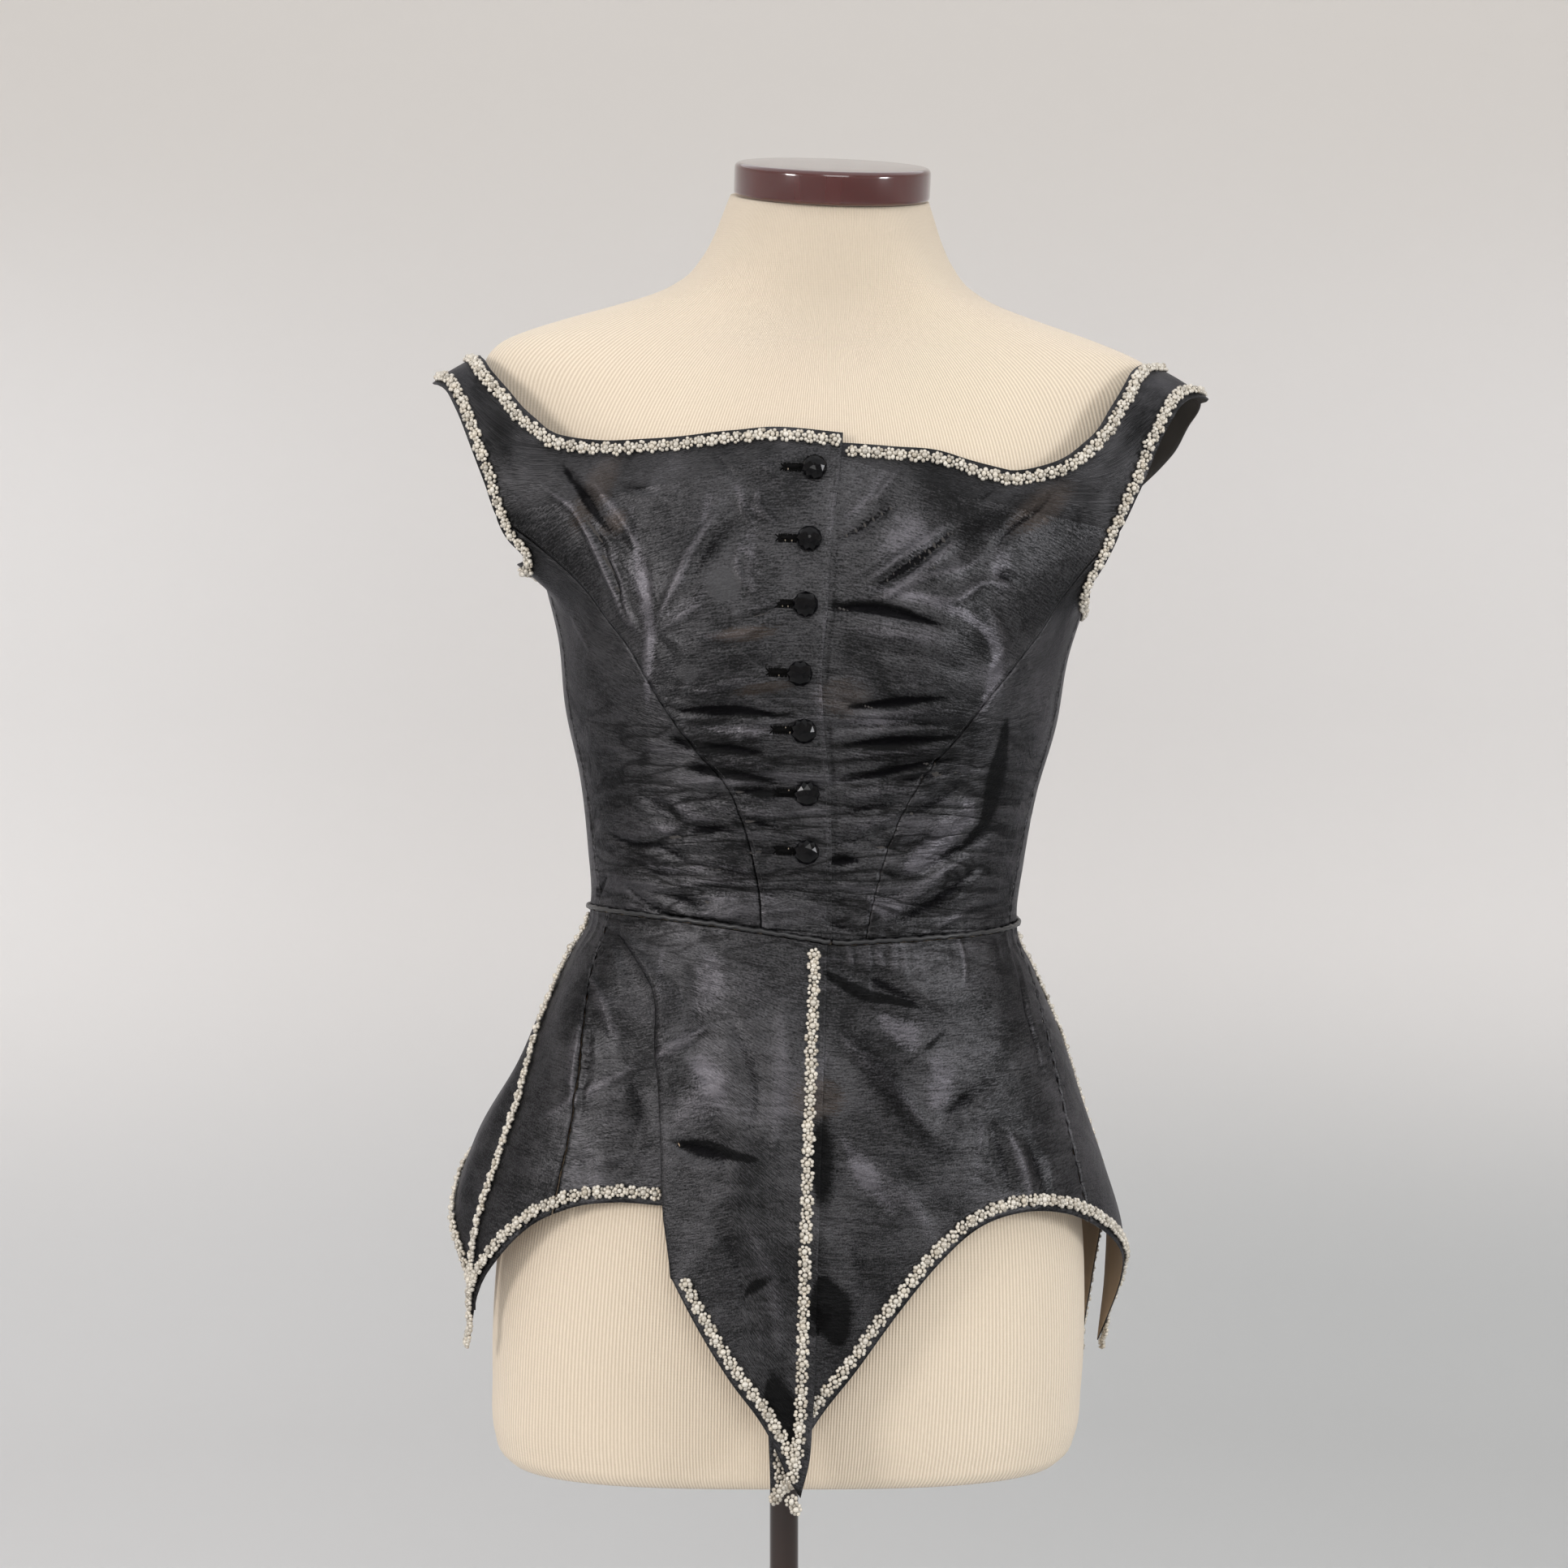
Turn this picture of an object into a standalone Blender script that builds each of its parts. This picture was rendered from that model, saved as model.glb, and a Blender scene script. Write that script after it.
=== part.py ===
"""A swiss waist of black silk with a vandyked peplum, worn on a limbless dress form on a stand."""

import math

import bmesh
import bpy
import numpy as np
from mathutils import Matrix, Vector

# Driving dimensions, in millimetres. Heights on the garment run up from the torso's underside.
MM = 0.001
TORSO_FLOOR = 760.0
LEAN = math.radians(2.1)
WALL = 1.2
LIE = 1.7
LAP = 2.4
PEPLUM_LAP = 6.0
HALF_SEAM = 0.15
PIPING_RADIUS = 1.5
PIPING_OFF = 0.85
TRIM_WIDTH, TRIM_DEEP, TRIM_OFF = 7.6, 2.2, 1.0
TRIM_INSET, HEM_INSET, CENTRE_INSET = 1.6, 2.2, 3.2
BUTTON_WIDTH, BUTTON_DEEP = 14.0, 5.2
# A button's rings of eight corners, from the cloth out: radius over its width, rise over its depth.
BUTTON_RINGS = ((0.379, 0.0), (0.493, 0.29), (0.5, 0.42), (0.379, 0.79), (0.207, 1.0))
STRAP_TOP = {-1: 630.0, 1: 638.5}
STRAP_OUT = {-1: 612.5, 1: 618.0}
STRAP_DROP = 5.5
CAP_WIDTH, CAP_DEEP, CAP_TILT = 115.6, 19.0, math.radians(17.5)
NECK_TOP = 732.0
WAIST_GAP = 0.9
POLE_WIDTH = 16.8
BASE_WIDTH, BASE_DEEP = 330.0, 25.0

# The dress form: height, half width, front depth, back depth, roundness.
BODY = np.array([
    (0, 160, 102, 110, 3.0), (4, 165, 105, 113, 2.9), (12, 168.5, 107, 115, 2.8),
    (42, 171.5, 110, 118, 2.65), (97, 172, 111, 120, 2.5), (147, 168, 109.5, 119, 2.4),
    (197, 157, 106, 110, 2.3), (247, 140, 101, 97, 2.25), (282, 127, 98, 88, 2.2),
    (312, 122, 97, 84, 2.2), (347, 125, 101, 85, 2.2), (387, 131, 107, 88, 2.2),
    (427, 141, 113, 92, 2.2), (467, 146.5, 116, 95, 2.25), (502, 156, 116, 97, 2.3),
    (537, 163, 112, 97, 2.3), (572, 178, 104, 95, 2.2), (602, 194, 90, 88, 2.0),
    (622, 200, 77, 79, 1.95), (634, 196, 68, 71, 1.9), (641, 188, 62, 66, 1.9), (647, 175, 58, 62, 1.85),
    (654, 155, 54, 60, 1.85), (662, 129, 51, 58, 1.85), (671, 102, 50, 57, 1.9), (680, 86, 50, 56, 1.95),
    (694, 74, 50, 56, 2.0), (708, 67, 50, 55, 2.0), (722, 62, 50, 54, 2.0),
    (NECK_TOP, 58.5, 49, 53, 2.0),
], float)
# The peplum's inner face: height, half width, front depth, back depth, roundness.
SKIRT = np.array([
    (-12, 188, 133, 152, 2.1), (0, 189, 133, 152, 2.1), (60, 193, 130.5, 151, 2.1),
    (100, 196, 128, 148, 2.1), (132, 194.5, 125, 142, 2.1), (170, 182, 121, 132, 2.1),
    (208, 167, 116.5, 121, 2.15), (247, 152, 110.5, 107.5, 2.2), (266, 143, 107, 100, 2.2),
    (285, 133.5, 103.5, 93.5, 2.2), (300, 125, 100, 87.5, 2.2), (316, 123.2, 98.2, 85.2, 2.2),
], float)
# How far the strap stands out sideways, at the front and at the back: height, distance.
FLARE = np.array([(460, 0), (478, 0), (485, 0.3), (492, 3), (500, 11), (508, 22), (520, 40), (536, 60),
                  (556, 76), (576, 78), (596, 62), (612, 40), (620, 27), (629, 12), (637, 0.5),
                  (650, 0)], float)
FLARE_BACK = np.array([(500, 0), (512, 0.8), (522, 5), (534, 16), (552, 36), (573, 50), (594, 41),
                       (609, 25), (618, 17), (628, 8), (637, 0.5), (650, 0)], float)
# The waist seam: angle, height.
WAIST = np.array([(-180, 312), (-90, 310.6), (-62, 310.6), (-33, 308.2), (-13, 304.6), (4, 301), (9, 300),
                  (25, 301.6), (48, 305), (90, 311), (180, 312)], float)

# Lines of the bodice's front on the wearer's right, as x and height, each from the waist or the centre out.
EDGE_RIGHT = [(13, 350), (10.6, 386), (6.7, 417), (4.2, 447), (6, 482), (7, 520), (10, 560), (11, 578)]
NECK_RIGHT = [(11, 578), (-24, 580), (-50, 578.6), (-95, 573.5), (-123, 572.5), (-145, 575.5), (-161, 586),
              (-176, 601), (-188.5, 614.5), (-196, 624)]
PRINCESS_RIGHT = [(-24, 322), (-27.6, 340), (-34, 362), (-43, 382), (-62, 403), (-80.6, 427), (-100, 458),
                  (-119.5, 482), (-140, 503.7), (-160, 519), (-180, 532)]
ARMHOLE_RIGHT = [(-180, 532), (-187.5, 550), (-197, 571), (-207.5, 592), (-218, 606)]
UNDERARM_RIGHT = [(-180, 532), (-172.5, 519), (-165, 512)]
# The same on the wearer's left.
EDGE_LEFT = [(-17, 350), (-18, 386), (-20, 417), (-21, 447), (-19, 482), (-17, 520), (-15, 560),
             (-14, 573.5)]
NECK_LEFT = [(-14, 573.5), (14, 573.5), (38.6, 572.7), (65.5, 571.5), (84, 567), (104.6, 563.5),
             (126, 569), (147, 583.7), (161, 604), (170.5, 620), (181, 633)]
PRINCESS_LEFT = [(38, 329), (44.5, 356), (54.6, 381), (67, 401), (80, 417), (95, 438), (111, 459),
                 (129, 485.5), (152, 518), (167, 535)]
ARMHOLE_LEFT = [(167, 535), (177, 556), (187, 580), (197.5, 600), (211, 615)]
UNDERARM_LEFT = [(167, 535), (160, 518), (153, 505)]
# Where the seams and the front edges meet the waist: x in front, angle at the side and back.
PRINCESS_WAIST = {-1: -23.0, 1: 33.5}
EDGE_WAIST = {-1: 15.0, 1: -17.0}
SIDE_WAIST, BACK_WAIST = 72, 156
# How far along a panel its sides turn into neckline and armhole, and how slowly the armhole sets out.
FRONT_CORNER, BACK_CORNER, ARMHOLE_PACE = 0.55, 0.58, 2.2
# Lines of the side and back, as angle and height, for the wearer's left. The right mirrors them, but for
# the underarm's own lowest point.
SIDE_SEAM = [(73, 340), (75, 400), (76, 456)]
BACK_SEAM = [(154, 345), (147, 395), (135, 450), (122, 504), (113, 534)]
UNDERARM = {-1: (79, 509), 1: (79, 500)}
ARMHOLE_BACK = [(113, 534), (113, 550), (109, 573), (102, 594), (95, 609)]
NECK_BACK = [(180, 590), (165, 590), (150, 591), (135, 596), (120, 606), (108, 618), (98, 627)]
BUTTONS = [(-4, 558), (-5.4, 519), (-6.4, 484), (-8, 447.5), (-4.4, 417), (-1.4, 383), (-0.4, 351)]

# Edges of the peplum's panels, as angle and height going down.
CENTRE_RIGHT = [(7.6, 316), (7.2, 290), (6.6, 240), (6.2, 175), (6, 110), (5.8, 45), (5.3, 24), (3.8, 8),
                (3.2, 0)]
CENTRE_LEFT = [(-8.5, 316), (-8, 290), (-7.2, 240), (-6.6, 175), (-6, 110), (-5, 60), (-3.8, 25), (-3, 0)]
SEAM_RIGHT = [(-67, 316), (-63.5, 278), (-58, 240), (-55.7, 204), (-55.2, 161), (-55.2, 0)]
SEAM_LEFT = [(82, 316), (77.5, 285), (72.5, 256), (70, 205), (69.4, 158), (69.4, 0)]
SLIT_RIGHT = [(-91, 316), (-86, 278), (-82, 260), (-75.5, 217), (-73.2, 162), (-73, 120), (-72.5, 60)]
SLIT_LEFT = [(91, 316), (94, 278), (97, 217), (100, 162), (102, 120), (103, 50)]
BACK_RIGHT = [(-92.7, 316), (-89, 280), (-85.5, 264), (-80, 244), (-74, 200), (-72.5, 155), (-75, 110),
              (-77.5, 70)]
BACK_LEFT = [(92.7, 316), (95.6, 280), (96.6, 264), (96, 240), (94.5, 200), (97, 150), (102.5, 110),
             (106, 40)]
CENTRE_BACK = [(179.7, 316), (179.2, 200), (178.4, 100), (178, 0)]
FOLD_EDGE = [(-59, 300), (-50, 286), (-45, 276), (-38.7, 237), (-34.4, 194), (-31.8, 159), (-28, 118),
             (-27, 60)]
# Hems, as angle and height from the centre out.
HEM_RIGHT = [(3.6, 6), (1.8, 12), (-4.7, 40), (-13.5, 66), (-21, 91), (-28, 117)]
HEM_RIGHT_SIDE = [(-33, 155), (-43, 154.5), (-52.7, 148), (-59.3, 135.5), (-64.4, 116.5), (-68.8, 96),
                  (-72.5, 66)]
HEM_LEFT = [(-3.2, 4), (-1, 11), (6.3, 42.6), (15.8, 72.5), (25, 102.6), (34.4, 129.5), (43.2, 147.7),
            (52, 155.3), (62.8, 152.8), (73.6, 140), (84, 122), (92, 104), (98, 82), (103, 57)]
HEM_BACK_RIGHT = [(-77.5, 79), (-84, 104), (-90, 126), (-96, 144), (-106, 156), (-118, 160), (-132, 148),
                  (-146, 118), (-158, 80), (-170, 34), (-178, 6)]
HEM_BACK_LEFT = [(106, 46), (109, 78), (114, 112), (120, 140), (128, 155), (136, 148), (147, 118),
                 (158, 80), (170, 34), (178, 6)]
# The folded flute: place when flat, place when folded over its width, rise. Positive places face the centre.
FLUTE = np.array([(40, 40, 0), (30, 26, 1.2), (22, 13, 2.4), (15, 4, 3.0), (9, -0.6, 2.2), (4, -1.0, 0.8),
                  (0, 3, -0.4), (-5, 24, -1.2), (-9, 29.6, -2.2), (-13, 29.2, -4.0), (-18, 24, -5.2),
                  (-26, 6, -6.0), (-36, -14, -5.0), (-50, -38, -1.5)], float)
FLUTE_TOP, FLUTE_FULL = 300.0, 125.0


def smooth(knots, values, at):
    """A cubic line through points, with each slope taken from the point's neighbours."""
    knots, values = np.asarray(knots, float), np.asarray(values, float)
    slope = np.gradient(values, knots)
    at = np.clip(at, knots[0], knots[-1])
    i = np.clip(np.searchsorted(knots, at, side="right") - 1, 0, len(knots) - 2)
    step = knots[i + 1] - knots[i]
    t = (at - knots[i]) / step
    return ((2 * t**3 - 3 * t**2 + 1) * values[i] + (t**3 - 2 * t**2 + t) * step * slope[i]
            + (3 * t**2 - 2 * t**3) * values[i + 1] + (t**3 - t**2) * step * slope[i + 1])


def ease(value, low, high):
    """0 below low, 1 above high, and a soft step between."""
    t = np.clip((value - low) / (high - low), 0, 1)
    return t * t * (3 - 2 * t)


def ring(rows, angle, height):
    """A point on a stack of rounded sections. Angle 0 is the front, and 90 the wearer's left side."""
    half, front, back, power = (smooth(rows[:, 0], rows[:, k], height) for k in range(1, 5))
    s, c = np.sin(np.radians(angle)), np.cos(np.radians(angle))
    reach = (np.abs(s / half) ** power + np.abs(c / np.where(c > 0, front, back)) ** power) ** (-1 / power)
    return np.stack([reach * s, -reach * c, height + 0 * reach], -1)


def body(angle, height):
    """The dress form: rounded sections, two bust mounds, a level underside and a neck that tips forward."""
    point = ring(BODY, angle, height)
    x, y, h = np.moveaxis(point, -1, 0)
    for side in (-70, 70):
        mound = 13 * np.exp(-((x - side) / 44) ** 2 - ((h - 470) / 52) ** 2)
        y = y - mound * ease(-y, 0, 60)
    h = h + math.tan(CAP_TILT) * ease(h, 668, NECK_TOP) * y + math.tan(LEAN) * (1 - ease(h, 0, 70)) * x
    return np.stack([x, y, h], -1)


def bodice(angle, height):
    """The bodice follows the form, and its straps stand out from the sides."""
    point = body(angle, height)
    from_side = np.abs(90 - np.abs(angle))
    height = np.asarray(height, float)
    right = np.asarray(angle) < 0
    level = height + STRAP_DROP * right
    underarm = 17 * ease(np.abs(angle), 68, 84) * ease(-height, -545, -520)
    front = smooth(FLARE[:, 0], FLARE[:, 1], level - underarm)
    back = smooth(FLARE_BACK[:, 0], FLARE_BACK[:, 1], level)
    behind = ease(np.abs(angle), 80, 96)
    out = (front + (back - front) * behind) * ease(-from_side, -54, -3)
    out = out * (1 + 0.22 * right * behind * ease(height, 575, 614))
    point[..., 0] += out * np.sign(np.sin(np.radians(angle)))
    return point


def skirt(angle, height):
    """The peplum: a flared shell with soft flutes that deepen towards the hem."""
    drop = ease(-height, -290, -60)
    wave = 3.2 * np.cos(np.radians(6 * angle + 20)) + 2.0 * np.sin(np.radians(9 * angle - 40))
    sides = ease(np.abs(angle), 30, 70)
    point = ring(SKIRT, angle, height)
    reach = np.hypot(point[..., 0], point[..., 1])
    point[..., :2] *= (1 + drop * sides * wave / reach)[..., None]
    return point


def outward(surface, angle, height):
    """The surface's unit normal."""
    across = surface(angle + 0.1, height) - surface(angle - 0.1, height)
    up = surface(angle, height + 0.2) - surface(angle, height - 0.2)
    normal = np.cross(across, up)
    return normal / np.linalg.norm(normal, axis=-1, keepdims=True)


def lifted(surface, angle, height, lift):
    return surface(angle, height) + outward(surface, angle, height) * np.asarray(lift)[..., None]


def stood(points):
    """From the garment's own frame to the scene, where it leans towards the wearer's left."""
    x, y, h = np.moveaxis(np.asarray(points, float), -1, 0)
    return MM * np.stack([x * math.cos(LEAN) + h * math.sin(LEAN), y,
                          TORSO_FLOOR + h * math.cos(LEAN) - x * math.sin(LEAN)], -1)


def angle_at(surface, x, height):
    """The angle at which the front of a surface reaches x."""
    turns = np.linspace(0, 90, 181)
    across = surface(turns * (1 if x >= 0 else -1), np.full(181, float(height)))[:, 0]
    return math.copysign(np.interp(abs(x), np.maximum.accumulate(np.abs(across)), turns), x)


def on_bodice(points):
    return [(angle_at(bodice, x, h), h) for x, h in points]


def waist(angle):
    return smooth(WAIST[:, 0], WAIST[:, 1], angle)


def line(points):
    """A smooth line through angles and heights, as a function of 0 to 1 along it."""
    points = np.array(points, float)
    steps = np.hypot(np.diff(points[:, 0]) * 2.1, np.diff(points[:, 1]))
    along = np.concatenate([[0], np.cumsum(steps)]) / steps.sum()
    return lambda t: np.stack([smooth(along, points[:, k], t) for k in (0, 1)], -1)


def joined(first, second, at):
    """Two lines end to end, the second taking over part way."""
    def both(t):
        t = np.asarray(t, float)
        low = first(np.clip(t / at, 0, 1))
        high = second(np.clip((t - at) / (1 - at), 0, 1))
        return np.where((t < at)[..., None], low, high)
    return both


def paced(path, power):
    """The same line, run slowly at first."""
    return lambda t: path(np.asarray(t, float) ** power)


def shifted(path, degrees, rise=0.0):
    return lambda t: path(t) + np.array([degrees, rise])


def along_waist(start, end, rise):
    def waistline(t):
        angle = start + (end - start) * np.asarray(t, float)
        return np.stack([angle, waist(angle) + rise], -1)
    return waistline


def patch(left, right, bottom, top, columns, rows):
    """Angles and heights over a panel between four lines."""
    u, v = np.meshgrid(columns, rows)
    s, t = u[..., None], v[..., None]
    corners = ((1 - s) * (1 - t) * bottom(np.zeros(1)) + s * (1 - t) * bottom(np.ones(1))
               + (1 - s) * t * top(np.zeros(1)) + s * t * top(np.ones(1)))
    return (1 - t) * bottom(u) + t * top(u) + (1 - s) * left(v) + s * right(v) - corners


def by_height(points):
    """An edge line as a function of height."""
    points = np.array(sorted(points, key=lambda row: row[1]), float)
    return lambda height: smooth(points[:, 1], points[:, 0], height)


def spaced(count, *breaks):
    """Even steps from 0 to 1 that also stop at each break."""
    stops = [0.0, *breaks, 1.0]
    parts = [np.linspace(a, b, max(2, round(count * (b - a)) + 1))[:-1] for a, b in zip(stops, stops[1:])]
    return np.concatenate([*parts, [1.0]])


def down_steps(count):
    """Steps from 0 at the waist to 1 at the hem, closer together where the peplum turns outwards."""
    even = np.linspace(0, 1, count)
    return even * (0.3 + 0.7 * even) ** 0.9


def paint(obj, name, colour, roughness=0.6, metallic=0.0):
    material = bpy.data.materials.new(name)
    material.use_nodes = True
    shader = material.node_tree.nodes["Principled BSDF"]
    shader.inputs["Base Color"].default_value = (*colour, 1)
    shader.inputs["Roughness"].default_value = roughness
    shader.inputs["Metallic"].default_value = metallic
    obj.data.materials.append(material)


def place(name, points, faces, colour, roughness=0.6, metallic=0.0):
    mesh = bpy.data.meshes.new(name)
    mesh.from_pydata([tuple(point) for point in np.asarray(points).reshape(-1, 3)], [], faces)
    obj = bpy.data.objects.new(name, mesh)
    parts.objects.link(obj)
    paint(obj, name + "_material", colour, roughness, metallic)
    return obj


def grid_faces(rows, columns, flip, wrap=False):
    faces = []
    for i in range(rows - 1):
        for j in range(columns if wrap else columns - 1):
            k = (j + 1) % columns
            face = [i * columns + j, i * columns + k, (i + 1) * columns + k, (i + 1) * columns + j]
            faces.append(face[::-1] if flip else face)
    return faces


def sheet(name, surface, places, lift, thickness, colour, roughness=0.6, metallic=0.0):
    """A grid of angles and heights on a surface, thickened outwards."""
    angle, height = places[..., 0], places[..., 1]
    points = lifted(surface, angle, height, lift + 0 * angle)
    rows, columns = angle.shape
    cell = np.cross(points[0, 1] - points[0, 0], points[1, 0] - points[0, 0])
    flip = float(cell @ outward(surface, angle[0, 0], height[0, 0])) < 0
    obj = place(name, stood(points), grid_faces(rows, columns, flip), colour, roughness, metallic)
    thick = obj.modifiers.new("wall", "SOLIDIFY")
    thick.thickness = thickness * MM
    thick.offset = 1.0
    return obj


SILK = (0.013, 0.012, 0.014)
GLASS = (0.42, 0.41, 0.39)


def lap_lift(angle, height):
    """The right front rises over the left one near the centre."""
    x = bodice(angle, height)[..., 0]
    return LIE + LAP * ease(x, -50, -26)


def plain_lift(angle, height):
    return LIE + 0 * angle


def front_lines(side):
    """The four lines round one front panel, from the wearer's right (-1) or left (1)."""
    edge, neck, princess, armhole = ((EDGE_RIGHT, NECK_RIGHT, PRINCESS_RIGHT, ARMHOLE_RIGHT) if side < 0
                                     else (EDGE_LEFT, NECK_LEFT, PRINCESS_LEFT, ARMHOLE_LEFT))
    start = angle_at(bodice, EDGE_WAIST[side], 301)
    end = angle_at(bodice, PRINCESS_WAIST[side], 303)
    top = 90 * side
    inner = joined(line([(start, waist(start) + WAIST_GAP), *on_bodice(edge)]),
                   line([*on_bodice(neck), (top, STRAP_TOP[side])]), FRONT_CORNER)
    outer = joined(line([(end, waist(end) + WAIST_GAP), *on_bodice(princess)]),
                   paced(line([*on_bodice(armhole), (top, STRAP_OUT[side])]), ARMHOLE_PACE), FRONT_CORNER)
    strap_end = line([(top, STRAP_TOP[side]), (top, STRAP_OUT[side])])
    return inner, outer, along_waist(start, end, WAIST_GAP), strap_end


def princess_line(side):
    just_short = FRONT_CORNER * 0.99999
    return lambda t: front_lines(side)[1](np.asarray(t, float) * just_short)


def side_line(side):
    start = SIDE_WAIST * side
    seam = [(a * side, h) for a, h in [*SIDE_SEAM, UNDERARM[side]]]
    return line([(start, waist(start) + WAIST_GAP), *seam])


def underarm_lines(side):
    """The armhole's low part: forward of the side seam, and behind it up to the back seam."""
    front = on_bodice(UNDERARM_RIGHT if side < 0 else UNDERARM_LEFT)
    angle, low = UNDERARM[side]
    far, high = BACK_SEAM[-1]
    rise = high - low
    back = [(angle, low), (90, low - 1), (102, low + 0.12 * rise), (109, low + 0.5 * rise), (far, high)]
    return line([*front, (angle * side, low)]), line([(a * side, h) for a, h in back])


def back_line(side):
    start = BACK_WAIST * side
    return line([(start, waist(start) + WAIST_GAP), *[(a * side, h) for a, h in BACK_SEAM]])


def back_armhole(side):
    return line([*[(a * side, h) for a, h in ARMHOLE_BACK], (90 * side, STRAP_OUT[side])])


def back_edges(side):
    """The two long sides of one back panel: seam and armhole, then centre and neckline."""
    neck = line([*[(a * side, h) for a, h in NECK_BACK], (90 * side, STRAP_TOP[side])])
    centre = line([(180 * side, h) for h in (312 + WAIST_GAP, 400, 500, 590)])
    return joined(back_line(side), back_armhole(side), BACK_CORNER), joined(centre, neck, BACK_CORNER)


# Places across and along the bodice's panels, from 0 to 1. The straps' rows sit closer at their far end.
STRAP_ROWS = FRONT_CORNER + (1 - FRONT_CORNER) * np.linspace(0, 1, 16) ** 0.86
FRONT_COLUMNS = np.array([0, 0.06, 0.14, 0.25, 0.38, 0.51, 0.64, 0.76, 0.88, 1])
SIDE_COLUMNS = np.linspace(0, 1, 8)
SIDE_BACK_COLUMNS = np.linspace(0, 1, 11)
SEAM_ROWS = 1 - down_steps(14)[::-1]
BACK_ROWS = np.concatenate([BACK_CORNER * SEAM_ROWS[:-1], np.linspace(BACK_CORNER, 1, 15)])
FRONT_ROWS = np.concatenate([FRONT_CORNER * SEAM_ROWS[:-1], STRAP_ROWS])


def bodice_panels():
    for side, word in ((-1, "right"), (1, "left")):
        gap = HALF_SEAM * side
        inner, outer, bottom, top = front_lines(side)
        lift = lap_lift if side < 0 else plain_lift
        places = patch(inner, shifted(outer, -gap), bottom, top, FRONT_COLUMNS, FRONT_ROWS)
        places[-1, :, 0] -= gap
        sheet(f"bodice_front_{word}", bodice, places, lift(places[..., 0], places[..., 1]), WALL, SILK)

        princess, side_seam, back_seam = princess_line(side), side_line(side), back_line(side)
        top, top_back = underarm_lines(side)
        start, end = princess(np.zeros(1))[0, 0], SIDE_WAIST * side
        places = patch(shifted(princess, gap), shifted(side_seam, -gap), along_waist(start, end, WAIST_GAP),
                       top, SIDE_COLUMNS, SEAM_ROWS)
        sheet(f"bodice_side_front_{word}", bodice, places, LIE, WALL, SILK)

        start, end = end, BACK_WAIST * side
        places = patch(shifted(side_seam, gap), shifted(back_seam, -gap), along_waist(start, end, WAIST_GAP),
                       top_back, SIDE_BACK_COLUMNS, SEAM_ROWS)
        sheet(f"bodice_side_back_{word}", bodice, places, LIE, WALL, SILK)

        outer, inner = back_edges(side)
        strap_end = line([(90 * side, STRAP_OUT[side]), (90 * side, STRAP_TOP[side])])
        places = patch(shifted(outer, gap), shifted(inner, -gap), along_waist(end, 180 * side, WAIST_GAP),
                       strap_end, spaced(6), BACK_ROWS)
        places[-1, :, 0] = 90 * side + gap
        sheet(f"bodice_back_{word}", bodice, places, LIE, WALL, SILK)


def mm_per_degree(surface, angle, height):
    step = surface(angle + 0.5, height) - surface(angle - 0.5, height)
    return np.linalg.norm(step[..., :2], axis=-1)


def hanging(edge_a, edge_b, hem, columns, rows):
    """Angles and heights of a panel that hangs from the waist between two edges down to a hem."""
    a, b, hem = by_height(edge_a), by_height(edge_b), np.array(hem, float)
    hem = hem[np.argsort(hem[:, 0])]
    u, v = np.meshgrid(columns, rows)
    height = np.full(u.shape, 150.0)
    for _ in range(25):
        angle = a(height) + (b(height) - a(height)) * u
        low = smooth(hem[:, 0], hem[:, 1], angle[-1])
        top = waist(angle[0]) - WAIST_GAP
        height = 0.5 * height + 0.5 * (top + (low - top) * v)
    return np.stack([a(height) + (b(height) - a(height)) * u, height], -1)


def front_right_lift(angle, height):
    """The right peplum front rises over the left one near the centre, more towards the hem."""
    return (1.6 + (PEPLUM_LAP - 1.6) * ease(-height, -300, -240)) * ease(angle, -32, -12) + 0 * height


def back_tuck(angle, height, side):
    """The back panels lie under the front ones at the slits. The right one swings out behind its slit."""
    reach = (88, 79) if side < 0 else (120, 107)
    tuck = -6.5 * ease(-np.abs(angle), -reach[0], -reach[1]) * ease(-height, -296, -262)
    swing = 9.0 * ease(np.abs(angle), 76, 96) * ease(-np.abs(angle), -132, -98) * ease(-height, -235, -165)
    return tuck + (swing if side < 0 else 0)


def flute_amount(height):
    return np.clip((FLUTE_TOP - height) / (FLUTE_TOP - FLUTE_FULL), 0, 1)


def flute_rise(height):
    return np.minimum(1, 1.9 * flute_amount(height) ** 0.5)


def flute_offset(height, flat, folded):
    """How far one of the flute's columns lies from the fold's edge."""
    amount = flute_amount(height)
    room = np.clip(amount * 1.15, 0, 1)
    return (1 - room) * flat * (0.22 + 0.78 * amount) + room * folded


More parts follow.
